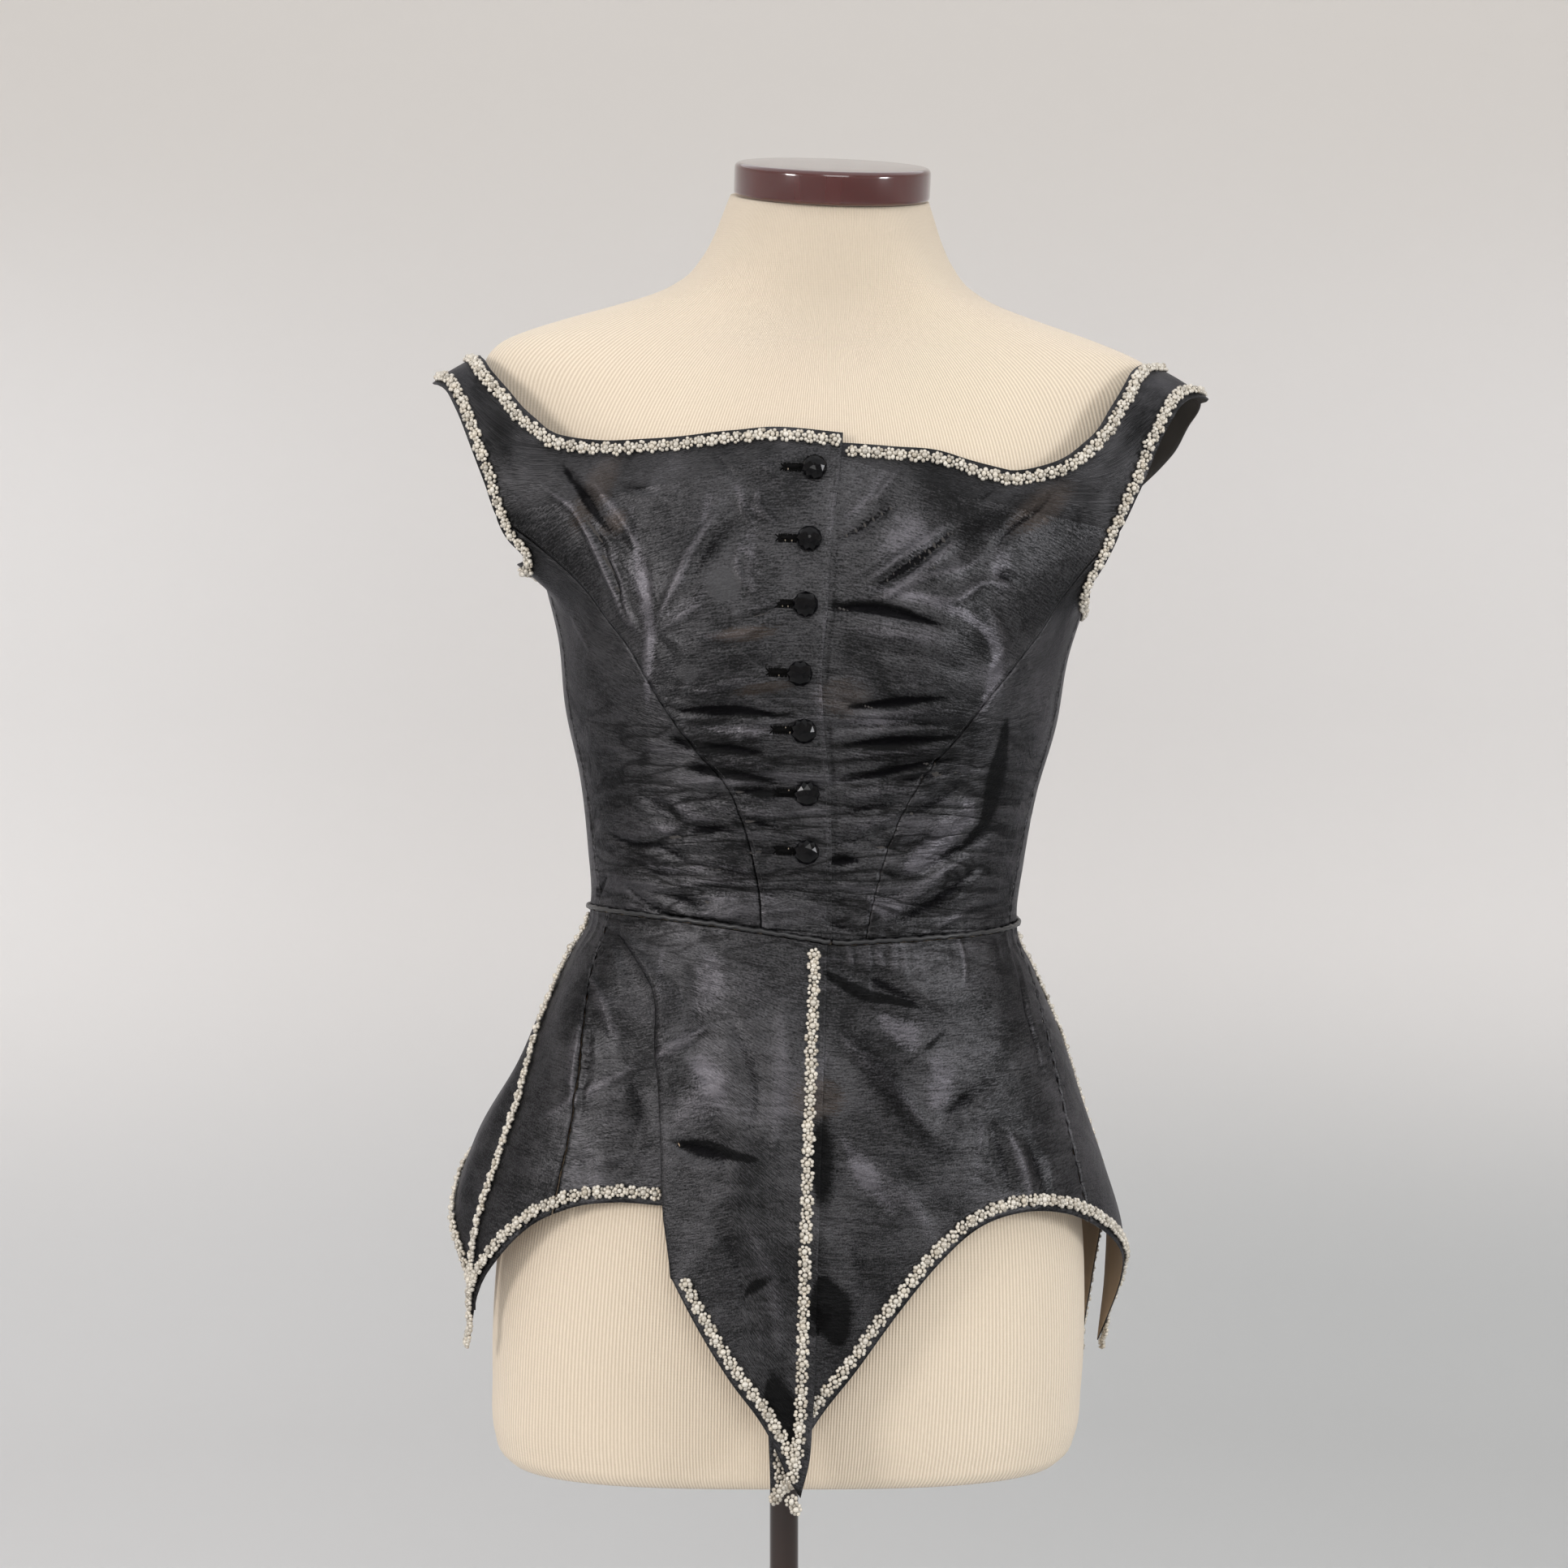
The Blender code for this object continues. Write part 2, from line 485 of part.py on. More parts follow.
def fluted_right():
    """The right peplum front: plain to the flute, three layers there, then plain to its side seam."""
    centre, seam, edge = by_height(CENTRE_RIGHT), by_height(SEAM_RIGHT), by_height(FOLD_EDGE)
    hem = np.array(HEM_RIGHT[::-1], float)
    side_hem = np.array(HEM_RIGHT_SIDE[::-1], float)
    rows = down_steps(14)
    columns = []
    for u in np.linspace(0, 1, 6)[:-1]:
        columns.append((u, None))
    for k in range(len(FLUTE)):
        columns.append((None, k))
    for u in np.linspace(0, 1, 4)[1:]:
        columns.append((1 + u, None))
    places, lifts = [], []
    for u, k in columns:
        height = np.full(len(rows), 200.0)
        for _ in range(30):
            scale = mm_per_degree(skirt, edge(height), height)
            if k is not None:
                angle = edge(height) + flute_offset(height, *FLUTE[k, :2]) / scale
                lift = FLUTE[k, 2] * flute_rise(height) + front_right_lift(angle, height)
            elif u < 1:
                last = edge(height) + flute_offset(height, *FLUTE[0, :2]) / scale
                angle = centre(height) + (last - centre(height)) * u
                lift = front_right_lift(angle, height)
            else:
                last = edge(height) + flute_offset(height, *FLUTE[-1, :2]) / scale
                angle = last + (seam(height) + 2 * HALF_SEAM - last) * (u - 1)
                lift = FLUTE[-1, 2] * (2 - u) * flute_rise(height) + 0 * height
            if u is not None and u < 1 or k is not None and k < 5:
                low = smooth(hem[:, 0], hem[:, 1], angle[-1])
            elif k is not None and k < 11:
                low = 119 + (k - 4) * 5.2
            else:
                low = smooth(side_hem[:, 0], side_hem[:, 1], angle[-1])
            top = waist(angle[0]) - WAIST_GAP
            height = 0.5 * height + 0.5 * (top + (low - top) * rows)
        places.append(np.stack([angle, height], -1))
        lifts.append(lift)
    return np.stack(places, 1), np.stack(lifts, 1)


def peplum_panels():
    places, lifts = fluted_right()
    sheet("peplum_front_right", skirt, places, lifts, WALL, SILK)
    seam = [(a - 2 * HALF_SEAM, h) for a, h in SEAM_RIGHT]
    places = hanging(seam, SLIT_RIGHT, HEM_RIGHT_SIDE, spaced(5), down_steps(13))
    sheet("peplum_side_right", skirt, places, 0.0, WALL, SILK)
    seam = [(a - HALF_SEAM, h) for a, h in SEAM_LEFT]
    places = hanging(CENTRE_LEFT, seam, HEM_LEFT, spaced(11), down_steps(13))
    sheet("peplum_front_left", skirt, places, 0.0, WALL, SILK)
    seam = [(a + HALF_SEAM, h) for a, h in SEAM_LEFT]
    places = hanging(seam, SLIT_LEFT, HEM_LEFT, spaced(5), down_steps(13))
    sheet("peplum_side_left", skirt, places, 0.0, WALL, SILK)
    mirror_centre = [(-a, h) for a, h in CENTRE_BACK]
    columns = np.array([0, 0.04, 0.08, 0.12, 0.17, 0.23, 0.3, 0.4, 0.52, 0.64, 0.76, 0.88, 1])
    places = hanging(BACK_RIGHT, mirror_centre, HEM_BACK_RIGHT, columns, down_steps(13))
    sheet("peplum_back_right", skirt, places, back_tuck(places[..., 0], places[..., 1], -1), WALL, SILK)
    places = hanging(BACK_LEFT, CENTRE_BACK, HEM_BACK_LEFT, spaced(11), down_steps(13))
    sheet("peplum_back_left", skirt, places, back_tuck(places[..., 0], places[..., 1], 1), WALL, SILK)


def beside(surface, places, distance):
    """A line of places moved sideways over the surface, to the left of its run as seen from outside."""
    angle, height = places[..., 0], places[..., 1]
    across = (surface(angle + 0.1, height) - surface(angle - 0.1, height)) / 0.2
    up = (surface(angle, height + 0.2) - surface(angle, height - 0.2)) / 0.4
    run = np.gradient(surface(angle, height), axis=0)
    side = np.cross(outward(surface, angle, height), run / np.linalg.norm(run, axis=-1, keepdims=True))
    aa, ab, bb = (across * across).sum(-1), (across * up).sum(-1), (up * up).sum(-1)
    sa, sb = (side * across).sum(-1), (side * up).sum(-1)
    step = np.stack([sa * bb - sb * ab, sb * aa - sa * ab], -1) / (aa * bb - ab * ab)[..., None]
    return places + np.asarray(distance) * step


def band(name, surface, run, side, lift, inset=TRIM_INSET):
    """A trim band beside a line of places. Side is 1 where the cloth lies to the left of the run."""
    places = np.stack([beside(surface, run, side * d) for d in (inset, inset + TRIM_WIDTH)])
    rise = lift(places[..., 0], places[..., 1]) + WALL + TRIM_OFF
    sheet(name, surface, places, rise, TRIM_DEEP, GLASS, 0.2)


def no_lift(angle, height):
    return 0 * angle


# How far along its panel's edge the neckline's trim starts. The left one starts clear of the overlap.
NECK_TRIM_START = {-1: 0.552, 1: 0.61}


def bodice_trim():
    for side, word in ((-1, "right"), (1, "left")):
        inner, outer, _, _ = front_lines(side)
        start = NECK_TRIM_START[side]
        run = inner(np.clip(np.concatenate([[start], STRAP_ROWS[STRAP_ROWS > start + 0.01]]), 0, 0.9995))
        band(f"trim_neck_{word}", bodice, run, -side, lap_lift if side < 0 else plain_lift)
        front = outer(np.clip(STRAP_ROWS, FRONT_CORNER + 0.0005, 0.9995))[::-1]
        low_front, low_back = underarm_lines(side)
        back = back_armhole(side)(np.append(np.linspace(0, 1, 15)[:-1], 0.985))
        under = [low_front(SIDE_COLUMNS)[:-1], low_back(SIDE_BACK_COLUMNS)[:-1]]
        run = np.concatenate([front[:-1], *under, back])
        band(f"trim_armhole_{word}", bodice, run, -side, plain_lift)
    steps = 0.005 + 0.995 * np.linspace(0, 1, 19) ** 1.3
    half = line([(91, STRAP_TOP[1]), *NECK_BACK[::-1]])(steps)
    other = line([(91, STRAP_TOP[-1]), *NECK_BACK[::-1]])(steps)[::-1][1:]
    other = other * np.array([-1, 1]) + np.array([360, 0])
    band("trim_neck_back", bodice_round, np.concatenate([half, other]), -1, plain_lift)


def bodice_round(angle, height):
    """The bodice, for angles that run past 180."""
    return bodice((np.asarray(angle) + 180) % 360 - 180, height)


def edge_run(edge, low, top, count):
    line_at = by_height(edge)
    height = top + (low - top) * down_steps(count)
    return np.stack([line_at(height), height], -1)


def hem_run(hem, edge_a, edge_b, clear_a, clear_b, count):
    """Places along a hem, clear of the bands on its two edges."""
    hem = np.array(hem, float)
    hem = hem[np.argsort(hem[:, 0])]
    fine = np.linspace(hem[0, 0], hem[-1, 0], 400)
    height = smooth(hem[:, 0], hem[:, 1], fine)
    scale = mm_per_degree(skirt, fine, height)
    gap_a = np.abs(fine - by_height(edge_a)(height)) * scale
    gap_b = np.abs(fine - by_height(edge_b)(height)) * scale
    keep = np.flatnonzero((gap_a > clear_a) & (gap_b > clear_b))
    fine = np.linspace(fine[keep[0]], fine[keep[-1]], 200)
    height = smooth(hem[:, 0], hem[:, 1], fine)
    points = skirt(fine, height)
    length = np.concatenate([[0], np.cumsum(np.linalg.norm(np.diff(points, axis=0), axis=1))])
    angle = np.interp(np.linspace(0, length[-1], count), length, fine)
    return np.stack([angle, smooth(hem[:, 0], hem[:, 1], angle)], -1)


def outer_flute_lift(angle, height):
    """The rise of the outer layer beside the flute, as the flute's table gives it."""
    offset = (angle - by_height(FOLD_EDGE)(height)) * mm_per_degree(skirt, angle, height)
    rise = np.interp(offset, [4, 13, 26, 40], [3.0, 2.4, 1.2, 0])
    return rise * flute_rise(height) + front_right_lift(angle, height)


def inner_flute_lift(angle, height):
    """The same for the layer that leaves the flute towards the side."""
    offset = (angle - by_height(FOLD_EDGE)(height)) * mm_per_degree(skirt, angle, height)
    rise = np.interp(offset, [-75, -38, -14, 6], [0, -1.5, -5.0, -6.0])
    return rise * flute_rise(height)


def peplum_trim():
    run = edge_run(CENTRE_RIGHT, 30, 296.5, 18)
    band("trim_centre_right", skirt, run, -1, front_right_lift, CENTRE_INSET)
    run = hem_run(HEM_RIGHT, CENTRE_RIGHT, FOLD_EDGE, 19.5, 1.5, 9)
    band("trim_hem_right", skirt, run, 1, outer_flute_lift, HEM_INSET)
    run = hem_run(HEM_RIGHT_SIDE, [(-33.5, 60), (-33.5, 200)], SLIT_RIGHT, 0.5, 18, 10)
    band("trim_hem_side_right", skirt, run, 1, inner_flute_lift, HEM_INSET)
    band("trim_slit_right", skirt, edge_run(SLIT_RIGHT, 88, 305.5, 16), 1, no_lift)
    band("trim_centre_left", skirt, edge_run(CENTRE_LEFT, 30, 252, 12), 1, no_lift)
    run = hem_run(HEM_LEFT, CENTRE_LEFT, SLIT_LEFT, 19.5, 18, 25)
    band("trim_hem_left", skirt, run, 1, no_lift, HEM_INSET)
    band("trim_slit_left", skirt, edge_run(SLIT_LEFT, 78, 305.5, 16), -1, no_lift)
    for side, word, edge, hem, low in ((-1, "right", BACK_RIGHT, HEM_BACK_RIGHT, 98),
                                       (1, "left", BACK_LEFT, HEM_BACK_LEFT, 68)):
        tuck = lambda angle, height, side=side: back_tuck(angle, height, side)
        centre = [(a * side, h) for a, h in CENTRE_BACK]
        band(f"trim_back_slit_{word}", skirt, edge_run(edge, low, 255, 12), side, tuck)
        band(f"trim_back_centre_{word}", skirt, edge_run(centre, 30, 306, 16), -side, no_lift)
        run = hem_run(hem, edge, centre, 18, 18, 22)
        band(f"trim_back_hem_{word}", skirt, run, 1, tuck, HEM_INSET)


def piping():
    for side, word in ((-1, "right"), (1, "left")):
        start = 8.2 if side < 0 else 9.0
        angle = np.linspace(start, 179.8 * side, 27)
        lift = LIE + WALL + PIPING_OFF + PIPING_RADIUS + 0 * angle
        if side < 0:
            lift = lift + LAP * ease(bodice(angle, waist(angle))[:, 0], -50, -26)
        points = stood(lifted(bodice, angle, waist(angle) + 0.8, lift))
        curve = bpy.data.curves.new(f"waist_piping_{word}", "CURVE")
        curve.dimensions = "3D"
        curve.bevel_depth = PIPING_RADIUS * MM
        curve.bevel_resolution = 1
        curve.use_fill_caps = True
        spline = curve.splines.new("POLY")
        spline.points.add(len(points) - 1)
        spline.points.foreach_set("co", np.c_[points, np.ones(len(points))].ravel())
        obj = bpy.data.objects.new(f"waist_piping_{word}", curve)
        parts.objects.link(obj)
        paint(obj, obj.name + "_material", SILK)


def buttons():
    for number, (x, h) in enumerate(BUTTONS, 1):
        angle = angle_at(bodice, x, h)
        normal = outward(bodice, angle, float(h))
        centre = lifted(bodice, angle, float(h), float(lap_lift(angle, float(h))) + WALL + 0.5)
        side = np.cross(normal, (0, 0, 1))
        side /= np.linalg.norm(side)
        up = np.cross(side, normal)
        mesh = bmesh.new()
        for k, (radius, out) in enumerate(BUTTON_RINGS):
            for j in range(8):
                turn = math.radians(45 * (j + 0.5 * (k % 2 == 0)))
                spoke = side * math.cos(turn) + up * math.sin(turn)
                point = centre + spoke * radius * BUTTON_WIDTH + normal * out * BUTTON_DEEP
                mesh.verts.new(stood(point))
        bmesh.ops.convex_hull(mesh, input=mesh.verts)
        bmesh.ops.dissolve_limit(mesh, angle_limit=0.002, verts=mesh.verts, edges=mesh.edges)
        bmesh.ops.recalc_face_normals(mesh, faces=mesh.faces)
        data = bpy.data.meshes.new(f"button_{number}")
        mesh.to_mesh(data)
        mesh.free()
        obj = bpy.data.objects.new(f"button_{number}", data)
        parts.objects.link(obj)
        paint(obj, f"button_{number}_material", (0.01, 0.01, 0.011), 0.1)


def torso():
    heights = [0, 4, 12, 42, 82, 122, 160, 192, 222, 246, 268, 288, 304, 320, 338, 360, 388, 416, 442, 460,
               476, 490, 506, 526, 550, 578, 602, 619, 631, 639, 646, 653, 661, 670, 681, 695, 713, NECK_TOP]
    count = 32
    angle, height = np.meshgrid(np.arange(count) * 360 / count - 180, heights)
    points = stood(body(angle, height))
    faces = grid_faces(len(heights), count, False, wrap=True)
    faces.append(list(range(count))[::-1])
    faces.append([(len(heights) - 1) * count + j for j in range(count)])
    place("form_torso", points, faces, (0.80, 0.68, 0.50), 0.9)


def turned(name, profile, steps, colour, roughness, place_at):
    """A turned piece: its profile, at +X, runs from the top to the bottom, in millimetres."""
    mesh = bpy.data.meshes.new(name)
    points = [(x * MM, 0, z * MM) for x, z in profile]
    mesh.from_pydata(points, [(i, i + 1) for i in range(len(points) - 1)], [])
    obj = bpy.data.objects.new(name, mesh)
    parts.objects.link(obj)
    screw = obj.modifiers.new("turn", "SCREW")
    screw.steps = screw.render_steps = steps
    screw.use_merge_vertices = True
    screw.merge_threshold = 1e-5
    obj.matrix_world = place_at
    paint(obj, name + "_material", colour, roughness)


def stand():
    wood, red = (0.05, 0.02, 0.012), (0.12, 0.012, 0.008)
    half, deep, round_off = CAP_WIDTH / 2, CAP_DEEP, 3.0
    top = stood((1.2, 2.0, NECK_TOP + 2.0 * math.tan(CAP_TILT)))
    tilt = Matrix.Rotation(LEAN, 4, "Y") @ Matrix.Rotation(CAP_TILT, 4, "X")
    turned("neck_cap",
           [(0, deep + 0.4), (half - round_off, deep + 0.4), (half - 0.9, deep - 0.5),
            (half, deep - round_off + 0.4), (half, round_off + 0.4), (half - 0.9, 1.3),
            (half - round_off, 0.4), (0, 0.4)],
           32, red, 0.15, Matrix.Translation(Vector(top)) @ tilt)
    under = Matrix.Translation((0, 0, TORSO_FLOOR * MM))
    turned("pole_flange", [(0, -0.4), (34, -0.4), (34, -5), (31, -7), (14, -9), (14, -20), (0, -20)],
           24, wood, 0.3, under)
    half = POLE_WIDTH / 2
    pole_top = TORSO_FLOOR - 20.9
    turned("pole", [(0, pole_top), (half, pole_top), (half, 62), (0, 62)], 20, wood, 0.2, Matrix.Identity(4))
    turned("pole_boss",
           [(0, 61.6), (15, 61.6), (16.5, 58), (16.5, 50), (22, 42), (33, 34), (35, 26), (0, 26)],
           24, wood, 0.3, Matrix.Identity(4))
    half = BASE_WIDTH / 2
    turned("stand_base",
           [(0, BASE_DEEP + 0.6), (half - 32, BASE_DEEP + 0.6), (half - 27, 20), (half - 9, 18),
            (half - 2, 14), (half, 8), (half - 1, 1), (half - 3, 0), (0, 0)],
           30, wood, 0.3, Matrix.Identity(4))


parts = bpy.data.collections.new("parts")


def main():
    for obj in list(bpy.data.objects):
        bpy.data.objects.remove(obj)
    bpy.context.scene.collection.children.link(parts)
    bodice_panels()
    bodice_trim()
    peplum_panels()
    peplum_trim()
    piping()
    buttons()
    torso()
    stand()


main()
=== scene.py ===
import math

import bmesh
import bpy
import numpy as np
from mathutils import Matrix, Vector


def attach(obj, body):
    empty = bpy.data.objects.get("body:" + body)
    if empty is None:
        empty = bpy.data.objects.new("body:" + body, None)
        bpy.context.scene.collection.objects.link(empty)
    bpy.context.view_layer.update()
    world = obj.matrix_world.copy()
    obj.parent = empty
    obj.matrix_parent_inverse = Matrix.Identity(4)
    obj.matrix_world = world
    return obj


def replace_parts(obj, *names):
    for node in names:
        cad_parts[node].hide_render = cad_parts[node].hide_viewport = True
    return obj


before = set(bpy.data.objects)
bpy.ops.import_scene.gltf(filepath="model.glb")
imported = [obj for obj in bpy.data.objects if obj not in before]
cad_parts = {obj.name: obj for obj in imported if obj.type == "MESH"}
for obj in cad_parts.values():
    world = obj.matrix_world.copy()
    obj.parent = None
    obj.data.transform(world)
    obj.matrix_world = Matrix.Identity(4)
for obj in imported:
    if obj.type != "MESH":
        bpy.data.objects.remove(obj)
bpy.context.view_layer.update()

# Driving sizes, in millimetres, as in the part. Heights on the garment run up from the torso's underside.
MM = 0.001
TORSO_FLOOR = 760.0
LEAN = math.radians(2.1)
WALL = 1.2
LIE = 1.7
LAP, LAP_FROM, LAP_TO = 2.4, -50, -26
PEPLUM_LAP = 6.0
PIPING_RADIUS = 1.5
TRIM_WIDTH, TRIM_INSET, HEM_INSET, CENTRE_INSET = 7.6, 1.6, 2.2, 3.2
STRAP_TOP = {-1: 630.0, 1: 638.5}
STRAP_OUT = {-1: 612.5, 1: 618.0}
STRAP_DROP = 5.5
CAP_WIDTH, CAP_DEEP, CAP_TILT = 115.6, 19.0, math.radians(17.5)
NECK_TOP = 732.0
WAIST_GAP = 0.9
POLE_WIDTH = 16.8
BASE_WIDTH, BASE_DEEP = 330.0, 25.0
# The scene's own: the thickness of silk and lining in mm, and the gaps between panels in degrees. Half a gap
# on the bodice and behind the flute, then how far the peplum's panels stay off their side seams.
CLOTH = 0.8
HALF_SEAM, CLEAR_RIGHT, CLEAR_LEFT = 0.05, 0.3, 0.2

# The dress form: height, half width, front depth, back depth, roundness.
BODY = np.array([
    (0, 160, 102, 110, 3.0), (4, 165, 105, 113, 2.9), (12, 168.5, 107, 115, 2.8),
    (42, 171.5, 110, 118, 2.65), (97, 172, 111, 120, 2.5), (147, 168, 109.5, 119, 2.4),
    (197, 157, 106, 110, 2.3), (247, 140, 101, 97, 2.25), (282, 127, 98, 88, 2.2),
    (312, 122, 97, 84, 2.2), (347, 125, 101, 85, 2.2), (387, 131, 107, 88, 2.2),
    (427, 141, 113, 92, 2.2), (467, 146.5, 116, 95, 2.25), (502, 156, 116, 97, 2.3),
    (537, 163, 112, 97, 2.3), (572, 178, 104, 95, 2.2), (602, 194, 90, 88, 2.0),
    (622, 200, 77, 79, 1.95), (634, 196, 68, 71, 1.9), (641, 188, 62, 66, 1.9), (647, 175, 58, 62, 1.85),
    (654, 155, 54, 60, 1.85), (662, 129, 51, 58, 1.85), (671, 102, 50, 57, 1.9), (680, 86, 50, 56, 1.95),
    (694, 74, 50, 56, 2.0), (708, 67, 50, 55, 2.0), (722, 62, 50, 54, 2.0),
    (NECK_TOP, 58.5, 49, 53, 2.0),
], float)
# Its two bust mounds: out from the middle, height, rise, and how far each one spreads.
BUST_OUT, BUST_HEIGHT, BUST_RISE, BUST_WIDE, BUST_TALL = 70, 470, 13, 44, 52
# The peplum's inner face: height, half width, front depth, back depth, roundness.
SKIRT = np.array([
    (-12, 188, 133, 152, 2.1), (0, 189, 133, 152, 2.1), (60, 193, 130.5, 151, 2.1),
    (100, 196, 128, 148, 2.1), (132, 194.5, 125, 142, 2.1), (170, 182, 121, 132, 2.1),
    (208, 167, 116.5, 121, 2.15), (247, 152, 110.5, 107.5, 2.2), (266, 143, 107, 100, 2.2),
    (285, 133.5, 103.5, 93.5, 2.2), (300, 125, 100, 87.5, 2.2), (316, 123.2, 98.2, 85.2, 2.2),
], float)
# How far the strap stands out sideways, at the front and at the back: height, distance.
FLARE = np.array([(460, 0), (478, 0), (485, 0.3), (492, 3), (500, 11), (508, 22), (520, 40), (536, 60),
                  (556, 76), (576, 78), (596, 62), (612, 40), (620, 27), (629, 12), (637, 0.5),
                  (650, 0)], float)
FLARE_BACK = np.array([(500, 0), (512, 0.8), (522, 5), (534, 16), (552, 36), (573, 50), (594, 41),
                       (609, 25), (618, 17), (628, 8), (637, 0.5), (650, 0)], float)
# The waist seam: angle, height.
WAIST = np.array([(-180, 312), (-90, 310.6), (-62, 310.6), (-33, 308.2), (-13, 304.6), (4, 301), (9, 300),
                  (25, 301.6), (48, 305), (90, 311), (180, 312)], float)

# Lines of the bodice's front on the wearer's right, as x and height, each from the waist or the centre out.
EDGE_RIGHT = [(13, 350), (10.6, 386), (6.7, 417), (4.2, 447), (6, 482), (7, 520), (10, 560), (11, 578)]
NECK_RIGHT = [(11, 578), (-24, 580), (-50, 578.6), (-95, 573.5), (-123, 572.5), (-145, 575.5), (-161, 586),
              (-176, 601), (-188.5, 614.5), (-196, 624)]
PRINCESS_RIGHT = [(-24, 322), (-27.6, 340), (-34, 362), (-43, 382), (-62, 403), (-80.6, 427), (-100, 458),
                  (-119.5, 482), (-140, 503.7), (-160, 519), (-180, 532)]
ARMHOLE_RIGHT = [(-180, 532), (-187.5, 550), (-197, 571), (-207.5, 592), (-218, 606)]
UNDERARM_RIGHT = [(-180, 532), (-172.5, 519), (-165, 512)]
# The same on the wearer's left.
EDGE_LEFT = [(-17, 350), (-18, 386), (-20, 417), (-21, 447), (-19, 482), (-17, 520), (-15, 560),
             (-14, 573.5)]
NECK_LEFT = [(-14, 573.5), (14, 573.5), (38.6, 572.7), (65.5, 571.5), (84, 567), (104.6, 563.5),
             (126, 569), (147, 583.7), (161, 604), (170.5, 620), (181, 633)]
PRINCESS_LEFT = [(38, 329), (44.5, 356), (54.6, 381), (67, 401), (80, 417), (95, 438), (111, 459),
                 (129, 485.5), (152, 518), (167, 535)]
ARMHOLE_LEFT = [(167, 535), (177, 556), (187, 580), (197.5, 600), (211, 615)]
UNDERARM_LEFT = [(167, 535), (160, 518), (153, 505)]
# Where the seams and the front edges meet the waist: x in front, angle at the side and back.
PRINCESS_WAIST = {-1: -23.0, 1: 33.5}
EDGE_WAIST = {-1: 15.0, 1: -17.0}
SIDE_WAIST, BACK_WAIST = 72, 156
# How far along a panel its sides turn into neckline and armhole, and how slowly the armhole sets out.
FRONT_CORNER, BACK_CORNER, ARMHOLE_PACE = 0.55, 0.58, 2.2
# Lines of the side and back, as angle and height, for the wearer's left. The right mirrors them, but for
# the underarm's own lowest point.
SIDE_SEAM = [(73, 340), (75, 400), (76, 456)]
BACK_SEAM = [(154, 345), (147, 395), (135, 450), (122, 504), (113, 534)]
UNDERARM = {-1: (79, 509), 1: (79, 500)}
ARMHOLE_BACK = [(113, 534), (113, 550), (109, 573), (102, 594), (95, 609)]
NECK_BACK = [(180, 590), (165, 590), (150, 591), (135, 596), (120, 606), (108, 618), (98, 627)]
BUTTONS = [(-4, 558), (-5.4, 519), (-6.4, 484), (-8, 447.5), (-4.4, 417), (-1.4, 383), (-0.4, 351)]

# Edges of the peplum's panels, as angle and height going down.
CENTRE_RIGHT = [(7.6, 316), (7.2, 290), (6.6, 240), (6.2, 175), (6, 110), (5.8, 45), (5.3, 24), (3.8, 8),
                (3.2, 0)]
CENTRE_LEFT = [(-8.5, 316), (-8, 290), (-7.2, 240), (-6.6, 175), (-6, 110), (-5, 60), (-3.8, 25), (-3, 0)]
SEAM_RIGHT = [(-67, 316), (-63.5, 278), (-58, 240), (-55.7, 204), (-55.2, 161), (-55.2, 0)]
SEAM_LEFT = [(82, 316), (77.5, 285), (72.5, 256), (70, 205), (69.4, 158), (69.4, 0)]
SLIT_RIGHT = [(-91, 316), (-86, 278), (-82, 260), (-75.5, 217), (-73.2, 162), (-73, 120), (-72.5, 60)]
SLIT_LEFT = [(91, 316), (94, 278), (97, 217), (100, 162), (102, 120), (103, 50)]
BACK_RIGHT = [(-92.7, 316), (-89, 280), (-85.5, 264), (-80, 244), (-74, 200), (-72.5, 155), (-75, 110),
              (-77.5, 70)]
BACK_LEFT = [(92.7, 316), (95.6, 280), (96.6, 264), (96, 240), (94.5, 200), (97, 150), (102.5, 110),
             (106, 40)]
CENTRE_BACK = [(179.7, 316), (179.2, 200), (178.4, 100), (178, 0)]
FOLD_EDGE = [(-59, 300), (-50, 286), (-45, 276), (-38.7, 237), (-34.4, 194), (-31.8, 159), (-28, 118),
             (-27, 60)]
# Hems, as angle and height from the centre out.
HEM_RIGHT = [(3.6, 6), (1.8, 12), (-4.7, 40), (-13.5, 66), (-21, 91), (-28, 117)]
HEM_RIGHT_SIDE = [(-33, 155), (-43, 154.5), (-52.7, 148), (-59.3, 135.5), (-64.4, 116.5), (-68.8, 96),
                  (-72.5, 66)]
HEM_LEFT = [(-3.2, 4), (-1, 11), (6.3, 42.6), (15.8, 72.5), (25, 102.6), (34.4, 129.5), (43.2, 147.7),
            (52, 155.3), (62.8, 152.8), (73.6, 140), (84, 122), (92, 104), (98, 82), (103, 57)]
HEM_BACK_RIGHT = [(-77.5, 79), (-84, 104), (-90, 126), (-96, 144), (-106, 156), (-118, 160), (-132, 148),
                  (-146, 118), (-158, 80), (-170, 34), (-178, 6)]
HEM_BACK_LEFT = [(106, 46), (109, 78), (114, 112), (120, 140), (128, 155), (136, 148), (147, 118),
                 (158, 80), (170, 34), (178, 6)]
# The folded flute: place when flat, place when folded over its width, rise. Positive places face the centre.
FLUTE = np.array([(40, 40, 0), (30, 26, 1.2), (22, 13, 2.4), (15, 4, 3.0), (9, -0.6, 2.2), (4, -1.0, 0.8),
                  (0, 3, -0.4), (-5, 24, -1.2), (-9, 29.6, -2.2), (-13, 29.2, -4.0), (-18, 24, -5.2),
                  (-26, 6, -6.0), (-36, -14, -5.0), (-50, -38, -1.5)], float)
FLUTE_TOP, FLUTE_FULL = 300.0, 125.0

# The camera's place in metres, its field of view, half the photo's width in pixels, and how far the silk
# stands off the form where its creases are seen.
EYE, FIELD, HALF_PHOTO, SEEN_LIFT = (0, -1.5, 1.147), math.radians(34.2), 966, 3.0

